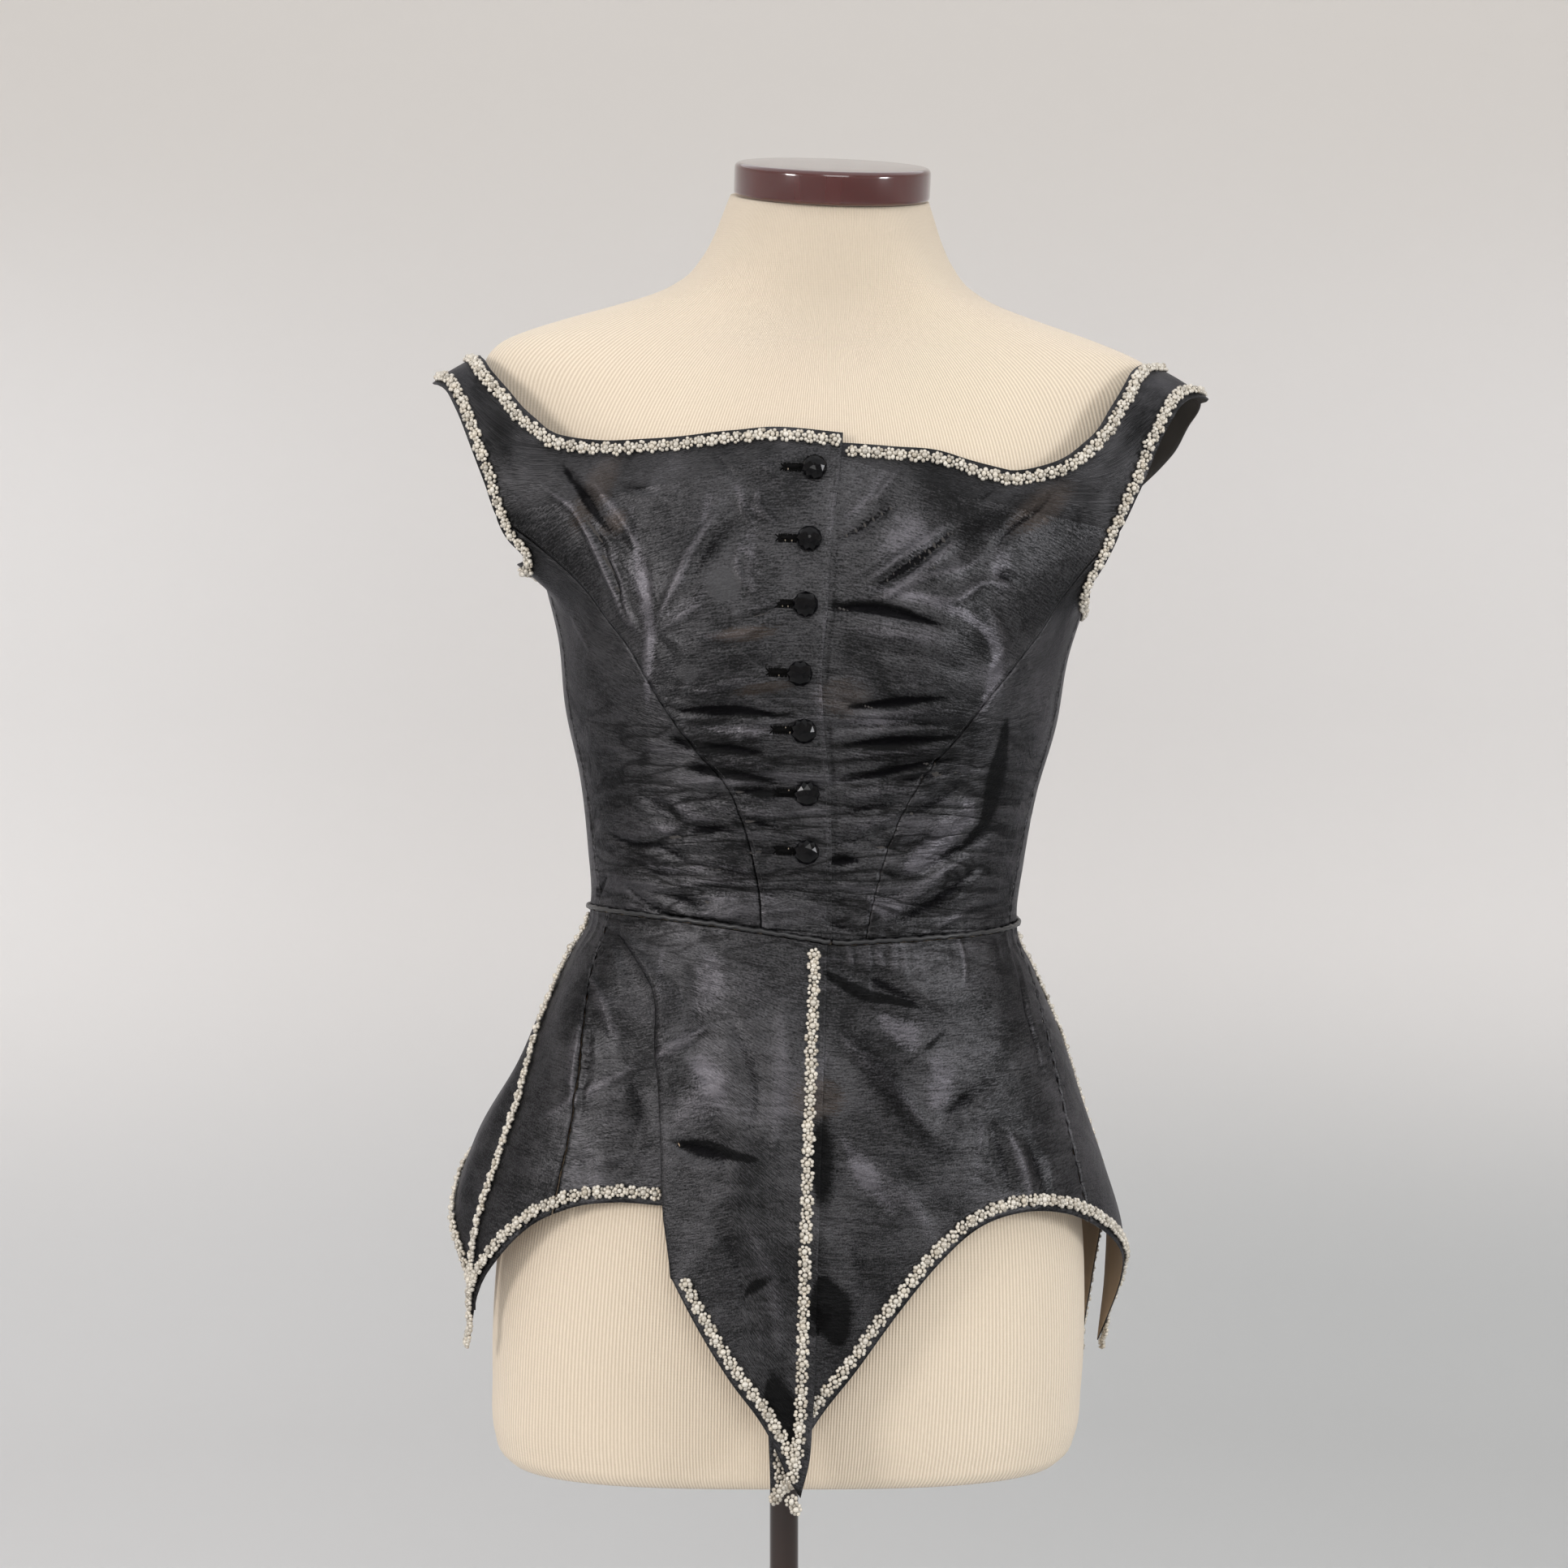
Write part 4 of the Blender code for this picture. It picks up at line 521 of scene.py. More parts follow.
def patch(left, right, bottom, top, columns, rows):
    """Angles and heights over a panel between four lines."""
    u, v = np.meshgrid(columns, rows)
    s, t = u[..., None], v[..., None]
    corners = ((1 - s) * (1 - t) * bottom(np.zeros(1)) + s * (1 - t) * bottom(np.ones(1))
               + (1 - s) * t * top(np.zeros(1)) + s * t * top(np.ones(1)))
    return (1 - t) * bottom(u) + t * top(u) + (1 - s) * left(v) + s * right(v) - corners


def by_height(points):
    """An edge line as a function of height."""
    points = np.array(sorted(points, key=lambda row: row[1]), float)
    return lambda height: smooth(points[:, 1], points[:, 0], height)


def down_steps(count):
    """Steps from 0 at the waist to 1 at the hem, closer together where the peplum turns outwards."""
    even = np.linspace(0, 1, count)
    return even * (0.3 + 0.7 * even) ** 0.9


def lap_lift(angle, height):
    """The right front rises over the left one near the centre."""
    x = bodice(angle, height)[..., 0]
    return LIE + LAP * ease(x, LAP_FROM, LAP_TO)


def plain_lift(angle, height):
    """The silk's inner face lies this far off the form."""
    return LIE + 0 * angle


def bodice_lift(side):
    return lap_lift if side < 0 else plain_lift


def front_lines(side):
    """The four lines round one front panel, from the wearer's right (-1) or left (1)."""
    edge, neck, princess, armhole = ((EDGE_RIGHT, NECK_RIGHT, PRINCESS_RIGHT, ARMHOLE_RIGHT) if side < 0
                                     else (EDGE_LEFT, NECK_LEFT, PRINCESS_LEFT, ARMHOLE_LEFT))
    start = angle_at(bodice, EDGE_WAIST[side], 301)
    end = angle_at(bodice, PRINCESS_WAIST[side], 303)
    top = 90 * side
    inner = joined(line([(start, waist(start) + WAIST_GAP), *on_bodice(edge)]),
                   line([*on_bodice(neck), (top, STRAP_TOP[side])]), FRONT_CORNER)
    outer = joined(line([(end, waist(end) + WAIST_GAP), *on_bodice(princess)]),
                   paced(line([*on_bodice(armhole), (top, STRAP_OUT[side])]), ARMHOLE_PACE), FRONT_CORNER)
    strap_end = line([(top, STRAP_TOP[side]), (top, STRAP_OUT[side])])
    return inner, outer, along_waist(start, end), strap_end


def princess_line(side):
    """The seam from the waist to the armhole, as the front panel has it."""
    just_short = FRONT_CORNER * 0.99999
    return lambda t: front_lines(side)[1](np.asarray(t, float) * just_short)


def side_line(side):
    start = SIDE_WAIST * side
    seam = [(a * side, h) for a, h in [*SIDE_SEAM, UNDERARM[side]]]
    return line([(start, waist(start) + WAIST_GAP), *seam])


def underarm_lines(side):
    """The armhole's low part: forward of the side seam, and behind it up to the back seam."""
    front = on_bodice(UNDERARM_RIGHT if side < 0 else UNDERARM_LEFT)
    angle, low = UNDERARM[side]
    far, high = BACK_SEAM[-1]
    rise = high - low
    back = [(angle, low), (90, low - 1), (102, low + 0.12 * rise), (109, low + 0.5 * rise), (far, high)]
    return line([*front, (angle * side, low)]), line([(a * side, h) for a, h in back])


def back_line(side):
    start = BACK_WAIST * side
    return line([(start, waist(start) + WAIST_GAP), *[(a * side, h) for a, h in BACK_SEAM]])


def back_armhole(side):
    return line([*[(a * side, h) for a, h in ARMHOLE_BACK], (90 * side, STRAP_OUT[side])])


def back_edges(side):
    """The two long sides of one back panel: seam and armhole, then centre and neckline."""
    neck = line([*[(a * side, h) for a, h in NECK_BACK], (90 * side, STRAP_TOP[side])])
    centre = line([(180 * side, h) for h in (312 + WAIST_GAP, 400, 500, 590)])
    return joined(back_line(side), back_armhole(side), BACK_CORNER), joined(centre, neck, BACK_CORNER)


def mm_per_degree(surface, angle, height):
    """How far one degree reaches round a surface."""
    step = surface(angle + 0.5, height) - surface(angle - 0.5, height)
    return np.linalg.norm(step[..., :2], axis=-1)


def hanging(edge_a, edge_b, hem, columns, rows):
    """Angles and heights of a panel that hangs from the waist between two edges down to a hem."""
    a, b, hem = by_height(edge_a), by_height(edge_b), np.array(hem, float)
    hem = hem[np.argsort(hem[:, 0])]
    u, v = np.meshgrid(columns, rows)
    height = np.full(u.shape, 150.0)
    for _ in range(25):
        angle = a(height) + (b(height) - a(height)) * u
        low = smooth(hem[:, 0], hem[:, 1], angle[-1])
        top = waist(angle[0]) - WAIST_GAP
        height = 0.5 * height + 0.5 * (top + (low - top) * v)
    return np.stack([a(height) + (b(height) - a(height)) * u, height], -1)


def front_right_lift(angle, height):
    """The right peplum front rises over the left one near the centre, more towards the hem."""
    return (1.6 + (PEPLUM_LAP - 1.6) * ease(-height, -300, -240)) * ease(angle, -32, -12) + 0 * height


def back_tuck(angle, height, side):
    """The back panels lie under the front ones at the slits. The right one swings out behind its slit."""
    reach = (88, 79) if side < 0 else (120, 107)
    tuck = -6.5 * ease(-np.abs(angle), -reach[0], -reach[1]) * ease(-height, -296, -262)
    swing = 9.0 * ease(np.abs(angle), 76, 96) * ease(-np.abs(angle), -132, -98) * ease(-height, -235, -165)
    return tuck + (swing if side < 0 else 0)


def flute_amount(height):
    """How far the flute is folded: 0 at its top, and 1 where it is full."""
    return np.clip((FLUTE_TOP - height) / (FLUTE_TOP - FLUTE_FULL), 0, 1)


def flute_rise(height):
    """The share of the flute's full rise that it has at a height."""
    return np.minimum(1, 1.9 * flute_amount(height) ** 0.5)


def flute_offset(height, flat, folded):
    """How far one of the flute's columns lies from the fold's edge."""
    amount = flute_amount(height)
    room = np.clip(amount * 1.15, 0, 1)
    return (1 - room) * flat * (0.22 + 0.78 * amount) + room * folded


def beside(surface, places, distance):
    """A line of places moved sideways over the surface, to the left of its run as seen from outside."""
    angle, height = places[..., 0], places[..., 1]
    across = (surface(angle + 0.1, height) - surface(angle - 0.1, height)) / 0.2
    up = (surface(angle, height + 0.2) - surface(angle, height - 0.2)) / 0.4
    run = np.gradient(surface(angle, height), axis=0)
    side = np.cross(outward(surface, angle, height), run / np.linalg.norm(run, axis=-1, keepdims=True))
    aa, ab, bb = (across * across).sum(-1), (across * up).sum(-1), (up * up).sum(-1)
    sa, sb = (side * across).sum(-1), (side * up).sum(-1)
    step = np.stack([sa * bb - sb * ab, sb * aa - sa * ab], -1) / (aa * bb - ab * ab)[..., None]
    return places + np.asarray(distance) * step


def no_lift(angle, height):
    """The peplum's table is its inner face already."""
    return 0 * angle


def bodice_round(angle, height):
    """The bodice, for angles that run past 180."""
    return bodice((np.asarray(angle) + 180) % 360 - 180, height)


def edge_run(edge, low, top):
    """Places down an upright edge of the peplum."""
    line_at = by_height(edge)
    height = top + (low - top) * down_steps(50)
    return np.stack([line_at(height), height], -1)


def hem_run(hem, edge_a, edge_b, clear_a, clear_b, count):
    """Places along a hem, clear of the bands on its two edges."""
    hem = np.array(hem, float)
    hem = hem[np.argsort(hem[:, 0])]
    fine = np.linspace(hem[0, 0], hem[-1, 0], 400)
    height = smooth(hem[:, 0], hem[:, 1], fine)
    scale = mm_per_degree(skirt, fine, height)
    gap_a = np.abs(fine - by_height(edge_a)(height)) * scale
    gap_b = np.abs(fine - by_height(edge_b)(height)) * scale
    keep = np.flatnonzero((gap_a > clear_a) & (gap_b > clear_b))
    fine = np.linspace(fine[keep[0]], fine[keep[-1]], 200)
    height = smooth(hem[:, 0], hem[:, 1], fine)
    points = skirt(fine, height)
    length = np.concatenate([[0], np.cumsum(np.linalg.norm(np.diff(points, axis=0), axis=1))])
    angle = np.interp(np.linspace(0, length[-1], count), length, fine)
    return np.stack([angle, smooth(hem[:, 0], hem[:, 1], angle)], -1)


def outer_flute_lift(angle, height):
    """The rise of the outer layer beside the flute, as the flute's table gives it."""
    offset = (angle - by_height(FOLD_EDGE)(height)) * mm_per_degree(skirt, angle, height)
    rise = np.interp(offset, [4, 13, 26, 40], [3.0, 2.4, 1.2, 0])
    return rise * flute_rise(height) + front_right_lift(angle, height)


def inner_flute_lift(angle, height):
    """The same for the layer that leaves the flute towards the side."""
    offset = (angle - by_height(FOLD_EDGE)(height)) * mm_per_degree(skirt, angle, height)
    rise = np.interp(offset, [-75, -38, -14, 6], [0, -1.5, -5.0, -6.0])
    return rise * flute_rise(height)


def fine(length, cell):
    """An odd count of steps along a length, so that an inner layer can use every other one."""
    return 2 * round(length / cell / 2) + 1


def split_steps(at, first, second):
    """Even steps on each side of a break."""
    return np.concatenate([np.linspace(0, at, first)[:-1], np.linspace(at, 1, second)])


def arc(points, axis):
    """Distance along each row or column of a grid of points."""
    steps = np.linalg.norm(np.diff(points, axis=axis), axis=-1)
    start = np.zeros_like(np.take(steps, [0], axis=axis))
    return np.concatenate([start, np.cumsum(steps, axis=axis)], axis=axis)


def unit(vectors):
    """The same directions, each 1 long."""
    return vectors / np.linalg.norm(vectors, axis=-1, keepdims=True)


def seen(surface, low, high):
    """Angles and heights on the front of a surface, and the photo's pixels where each is seen."""
    angle, height = np.meshgrid(np.arange(-86, 86, 0.5), np.arange(low, high, 1.0))
    x, y, z = np.moveaxis(stood(lifted(surface, angle, height, SEEN_LIFT + 0 * angle)), -1, 0)
    scale = HALF_PHOTO / math.tan(FIELD / 2) / (y - EYE[1])
    return angle, height, HALF_PHOTO + scale * (x - EYE[0]), HALF_PHOTO - scale * (z - EYE[2])


def on_surface(places_seen, rows):
    """Rows with their places turned from the photo's pixels to angles and heights."""
    angle, height, across, down = places_seen

    def place(px, py):
        nearest = np.argmin((across - px) ** 2 + (down - py) ** 2)
        return angle.flat[nearest], height.flat[nearest]

    return [(depth, wide, [place(*pixel) for pixel in pixels]) for depth, wide, pixels in rows]


BODICE_SEEN, PEPLUM_SEEN = seen(bodice, 296, 640), seen(skirt, 4, 316)
BODICE_FOLDS, BODICE_PAINTED_LIGHT = (on_surface(BODICE_SEEN, rows) for rows in (BODICE_CREASES, BODICE_PAINTED_LIGHT_ROWS))
PEPLUM_FOLDS, PEPLUM_PAINTED_LIGHT = (on_surface(PEPLUM_SEEN, rows) for rows in (PEPLUM_CREASES, PEPLUM_PAINTED_LIGHT_ROWS))


def crease_relief(surface, points, rows, lip=0):
    """The height of all the creases at points: soft troughs and ridges that fade out at both ends.
    Lip is the height of a trough's raised sides, as a share of its depth."""
    relief = np.zeros(points.shape[:-1])
    for depth, wide, places in rows:
        path = line([(a, h) for a, h in places])(np.linspace(0, 1, 5 * len(places)))
        path = surface(path[:, 0], path[:, 1])
        further = RUN_ON * np.linalg.norm(np.diff(path, axis=0), axis=1).sum()
        path = np.stack([path[0] + further * unit(path[0] - path[1]), *path,
                         path[-1] + further * unit(path[-1] - path[-2])])
        reach = CREASE_REACH * wide
        near = np.all((points > path.min(0) - reach) & (points < path.max(0) + reach), axis=-1)
        if not near.any():
            continue
        at = points[near]
        best = np.full(len(at), 1e9)
        along = np.zeros(len(at))
        for k, (a, b) in enumerate(zip(path, path[1:])):
            run = b - a
            t = np.clip(((at - a) @ run) / (run @ run), 0, 1)
            away = np.linalg.norm(at - a - t[:, None] * run, axis=1)
            closer = away < best
            best = np.where(closer, away, best)
            along = np.where(closer, (k + t) / (len(path) - 1), along)
        tips = ease(along, 0, 0.16) * ease(1 - along, 0, 0.2)
        swell = ease(along, 0, 0.45) * ease(1 - along, 0, 0.55)
        t = best / np.maximum(wide * (0.35 + 0.65 * swell), LEAST_WIDE)
        beside_it = lip * np.exp(-((t - LIP_AT) / LIP_BROAD) ** 2) if depth < 0 else 0
        relief[near] += depth * tips * (0.65 + 0.35 * swell) * (np.exp(-t * t) - beside_it)
    return relief


def wavering(along, seed):
    """An uneven wave along a seam, from -1 to 1."""
    wave = sum(np.sin(2 * np.pi * along / pitch + seed * phase) for phase, pitch in PUCKER_WAVES)
    return np.clip(wave / 1.9, -1, 1)


def seam_relief(away, along, seed, ridge, pucker):
    """A groove at a seam, the stitched ridge beside it, and the puckers that run off it."""
    groove = -GROOVE * np.exp(-(away / GROOVE_HALF) ** 2)
    beside_it = 0.6 * ridge * np.exp(-((away - RIDGE_AT) / RIDGE_HALF) ** 2)
    slanted = wavering(along + 0.35 * away, seed)
    puckers = pucker * slanted * np.exp(-((away - PUCKER_AT) / PUCKER_HALF) ** 2)
    return groove + beside_it + puckers


class Cloth:
    """A grid of places on a surface, with the distances that its relief needs."""

    def __init__(self, surface, places, lift):
        self.surface = surface
        self.angle, self.height = places[..., 0], places[..., 1]
        self.normal = outward(surface, self.angle, self.height)
        self.bare = surface(self.angle, self.height)
        self.points = self.bare + self.normal * (np.asarray(lift) + 0 * self.angle)[..., None]
        self.across, self.down = arc(self.points, 1), arc(self.points, 0)
        self.left, self.right = self.across, self.across[:, -1:] - self.across
        self.low, self.high = self.down, self.down[-1:] - self.down

    def crease(self, rows, painted_light_rows, sink):
        """Creases, and the painted highlights and shade that the light rows place. The fold, which the silk's
        finish reads for painted shade in troughs and painted highlights on crests, is their height before the
        limit.
        """
        self.fold = CREASE_GAIN * crease_relief(self.surface, self.bare, rows, LIP)
        self.painted_light = crease_relief(self.surface, self.bare, painted_light_rows)
        self.relief = np.where(self.fold < 0, sink * np.tanh(self.fold / sink), self.fold)

    def seam(self, away, along, seed, ridge, pucker):
        self.relief += seam_relief(away, along, seed, ridge, pucker)

    def calm(self, away, reach):
        """Less relief beside a trimmed edge, where the trim stiffens the silk."""
        self.relief *= 0.2 + 0.8 * ease(away, 0.4 * reach, 1.4 * reach)

    def outer(self):
        return self.points + self.normal * (WALL + self.relief)[..., None]

    def flat(self):
        """The cut's width, length and area, in metres."""
        across, up = np.diff(self.points, axis=1)[:-1], np.diff(self.points, axis=0)[:, :-1]
        area = np.linalg.norm(np.cross(across, up), axis=-1).sum()
        wide = np.ptp(self.angle) * mm_per_degree(self.surface, self.angle, self.height).mean()
        long = SLANT * np.ptp(self.height)
        return wide * MM, long * MM, min(area, wide * long) * MM * MM


def linked(name, data):
    """A new object in the scene."""
    obj = bpy.data.objects.new(name, data)
    bpy.context.scene.collection.objects.link(obj)
    return obj


def settled(obj, node=None):
    """Rides a piece on the one body and the solid that it stands for."""
    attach(obj, "root")
    if node:
        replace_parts(obj, node)
    return obj


def add_mesh(name, points, faces, materials, node=None):
    """A smooth piece from points in the garment's own frame."""
    mesh = bpy.data.meshes.new(name)
    mesh.from_pydata(stood(points).tolist(), [], faces)
    mesh.polygons.foreach_set("use_smooth", [True] * len(mesh.polygons))
    for material in materials:
        mesh.materials.append(material)
    return settled(linked(name, mesh), node)


def copies(name, points, faces, material):
    """One piece made of copies of a small shape. Points holds each copy's corners."""
    count, corners = points.shape[:2]
    faces = faces[None] + (np.arange(count) * corners)[:, None, None]
    return add_mesh(name, points.reshape(-1, 3), faces.reshape(-1, 3).tolist(), [material])


def give(obj, name, values):
    """A vector for each vertex, for the materials to read."""
    attribute = obj.data.attributes.new(name, "FLOAT_VECTOR", "POINT")
    attribute.data.foreach_set("vector", np.asarray(values, np.float32).ravel())


def quads(rows, columns):
    """Four-sided faces over a grid of points."""
    i, j = np.meshgrid(np.arange(rows - 1), np.arange(columns - 1), indexing="ij")
    first = i * columns + j
    return np.stack([first, first + 1, first + columns + 1, first + columns], -1).reshape(-1, 4)


def rim(outer_ids, inner_ids):
    """Five-sided faces from an edge of the outer layer to the same edge of the half-fine inner one."""
    return [[outer_ids[2 * k], outer_ids[2 * k + 1], outer_ids[2 * k + 2], inner_ids[k + 1], inner_ids[k]]
            for k in range(len(inner_ids) - 1)]


def shell(panel, cloth, lining):
    """A panel of thin cloth: a fine outer layer, an inner layer half as fine, and the edge between them."""
    outer = cloth.outer()
    rows, columns = outer.shape[:2]
    coarse = (outer - cloth.normal * CLOTH)[::2, ::2]
    few, less = coarse.shape[:2]
    ids = np.arange(rows * columns).reshape(rows, columns)
    inner_ids = rows * columns + np.arange(few * less).reshape(few, less)
    cell = np.cross(outer[0, 1] - outer[0, 0], outer[1, 0] - outer[0, 0])
    flip = float(cell @ cloth.normal[0, 0]) < 0
    front = quads(rows, columns)
    back = quads(few, less)[:, ::-1] + rows * columns
    sides = (rim(ids[0][::-1], inner_ids[0][::-1]) + rim(ids[-1], inner_ids[-1])
             + rim(ids[:, 0], inner_ids[:, 0]) + rim(ids[::-1, -1], inner_ids[::-1, -1]))
    faces = front.tolist() + back.tolist() + sides
    if flip:
        faces = [face[::-1] for face in faces]
    points = np.concatenate([outer.reshape(-1, 3), coarse.reshape(-1, 3)])
    obj = add_mesh(panel + "_silk", points, faces, [silk, lining], panel)
    obj.data.polygons.foreach_set("material_index", [0] * len(front) + [1] * len(back) + [0] * len(sides))
    give(obj, "spot", points)
    # The fold attribute holds the crease height and the painted light, which the silk's finish turns into
    # painted shade and highlights.
    for stored, first, second in (("weave", cloth.across, cloth.down), ("fold", cloth.fold, cloth.painted_light)):
        values = np.stack([first, second, 0 * first], -1)
        give(obj, stored, np.concatenate([values.reshape(-1, 3), values[::2, ::2].reshape(-1, 3)]))
    wide, long, area = cloth.flat()


class Value:
    """A number in a material, with Python's operators. Each one adds a Math node."""

    def __init__(self, tree, socket):
        self.tree, self.socket = tree, socket

    def math(self, operation, *others):
        node = self.tree.nodes.new("ShaderNodeMath")
        node.operation = operation
        for place, value in zip(node.inputs, (self, *others)):
            feed(self.tree, place, value)
        return Value(self.tree, node.outputs[0])

    def __add__(self, other):
        return self.math("ADD", other)

    def __mul__(self, other):
        return self.math("MULTIPLY", other)

    def __sub__(self, other):
        return self.math("SUBTRACT", other)

    def __rsub__(self, other):
        return self * -1.0 + other

    def __truediv__(self, other):
        return self.math("DIVIDE", other)

    __radd__ = __add__
    __rmul__ = __mul__

    def within(self, low, high):
        """0 at low, 1 at high, and a soft step between. Low may be the larger."""
        t = self.math("SUBTRACT", low) / (high - low)
        t = t.math("MAXIMUM", 0.0).math("MINIMUM", 1.0)
        return t * t * (3.0 - t * 2.0)


def feed(tree, place, value):
    """Sets a socket to a number or a colour, or links it to a value or another socket."""
    if isinstance(value, Value):
        tree.links.new(value.socket, place)
    elif isinstance(value, bpy.types.NodeSocket):
        tree.links.new(value, place)
    elif isinstance(value, tuple) and len(value) == 3 and place.type == "RGBA":
        place.default_value = (*value, 1)
    else:
        place.default_value = value


class Finish:
    """A material under construction. Its constants go straight on the shader's sockets."""

    def __init__(self, name, **constants):
        self.material = bpy.data.materials.new(name)
        self.material.use_nodes = True
        self.tree = self.material.node_tree
        self.shader = self.tree.nodes["Principled BSDF"]
        for socket, value in constants.items():
            self.set(socket, value)

    def set(self, socket, value):
        feed(self.tree, self.shader.inputs[socket.replace("_", " ")], value)

    def node(self, kind, settings=None, **inputs):
        node = self.tree.nodes.new("ShaderNode" + kind)
        for name, value in (settings or {}).items():
            setattr(node, name, value)
        for name, value in inputs.items():
            feed(self.tree, node.inputs[name.replace("_", " ")], value)
        return node

    def value(self, socket):
        return Value(self.tree, socket)

    def stored(self, name):
        """A vertex attribute's vector, and its three numbers."""
        vector = self.node("Attribute", {"attribute_name": name}).outputs["Vector"]
        parts = self.node("SeparateXYZ", Vector=vector)
        return (vector, *[self.value(parts.outputs[axis]) for axis in "XYZ"])

    def noise(self, vector, fineness, detail, distortion=0.0):
        """A cloudy pattern. Fineness is for each axis: about how many clouds to a unit of the vector."""
        place = self.node("VectorMath", {"operation": "MULTIPLY"})
        feed(self.tree, place.inputs[0], vector)
        place.inputs[1].default_value = fineness
        place = place.outputs[0]
        cloud = self.node("TexNoise", Vector=place, Scale=1.0, Detail=detail, Distortion=distortion)
        return self.value(cloud.outputs["Fac"])

    def mix(self, factor, first, second):
        node = self.node("Mix", {"data_type": "RGBA"})
        feed(self.tree, node.inputs[0], factor)
        feed(self.tree, node.inputs[6], first)
        feed(self.tree, node.inputs[7], second)
        return node.outputs[2]

    def bump(self, height, distance, strength=1.0, under=None):
        node = self.node("Bump", Height=height, Distance=distance, Strength=strength)
        if under is not None:
            self.tree.links.new(under, node.inputs["Normal"])
        return node.outputs["Normal"]


# The silk's colours, which are those of a metal, because its base colour is its gloss. The ground tones and
# the stains are its own colours, and the dark petal colour is for the petal marks. The rest are painted
# highlights, on crests, between pleats and where the light rows put them, and painted shade, in troughs,
# in pleat creases and where the light rows go below zero.
GROUND_DARK, GROUND_LIGHT, PAINTED_SHEEN = (0.013, 0.0132, 0.0136), (0.067, 0.066, 0.0695), (0.135, 0.129, 0.143)
PAINTED_PLEAT_HIGHLIGHT, PAINTED_PLEAT_SHADE, PAINTED_CREST_HIGHLIGHT = (0.085, 0.082, 0.09), (0.006, 0.006, 0.006), (0.115, 0.11, 0.12)
PAINTED_SHADE, PETAL_DARK, PAINTED_TROUGH_SHADE = (0.004, 0.0042, 0.0042), (0.004, 0.004, 0.004), (0.002, 0.002, 0.0024)
PALE_STAIN, BROWN_STAIN = (0.06, 0.0595, 0.062), (0.07, 0.053, 0.042)
# Marks on the silk: x and height of the centre, half width, half height, turn in degrees, strength.
PALE_SPOTS = [(-51, 493.5, 9.6, 8.8, 0, 0.6), (-69, 445, 5.8, 5.2, 0, 0.5)]
BROWN_MARKS = [(-38, 467, 19, 4.4, 8, 0.8), (-27, 438, 17, 3.6, 10, 0.8), (16, 435, 16, 11, 0, 0.5),
               (-113, 527, 9, 7, 40, 0.7), (-124, 545, 9, 26, -28, 0.6), (122, 545, 24, 10, 38, 0.7),
               (10, 217, 16, 12, 0, 0.7)]
DARK_PETALS = [(14, 103, 3.2, 8, 24, 0.8), (18, 98, 3.0, 7, -30, 0.8), (10, 95, 2.6, 7, 60, 0.7)]


def marked(x, h, rows, blur, rough):
    """The strongest of a table's soft oval marks. Blur is the share of the radius over which a mark fades."""
    total = 0.0
    for cx, ch, wide, tall, turn, strength in rows:
        c, s = math.cos(math.radians(turn)), math.sin(math.radians(turn))
        along, over = x - cx, h - ch
        u = (along * c + over * s) / wide
        v = (over * c - along * s) / tall
        total = (u * u + v * v + rough).within(1.2, 1.2 - blur) * strength + total
    return total.math("MINIMUM", 1.0)


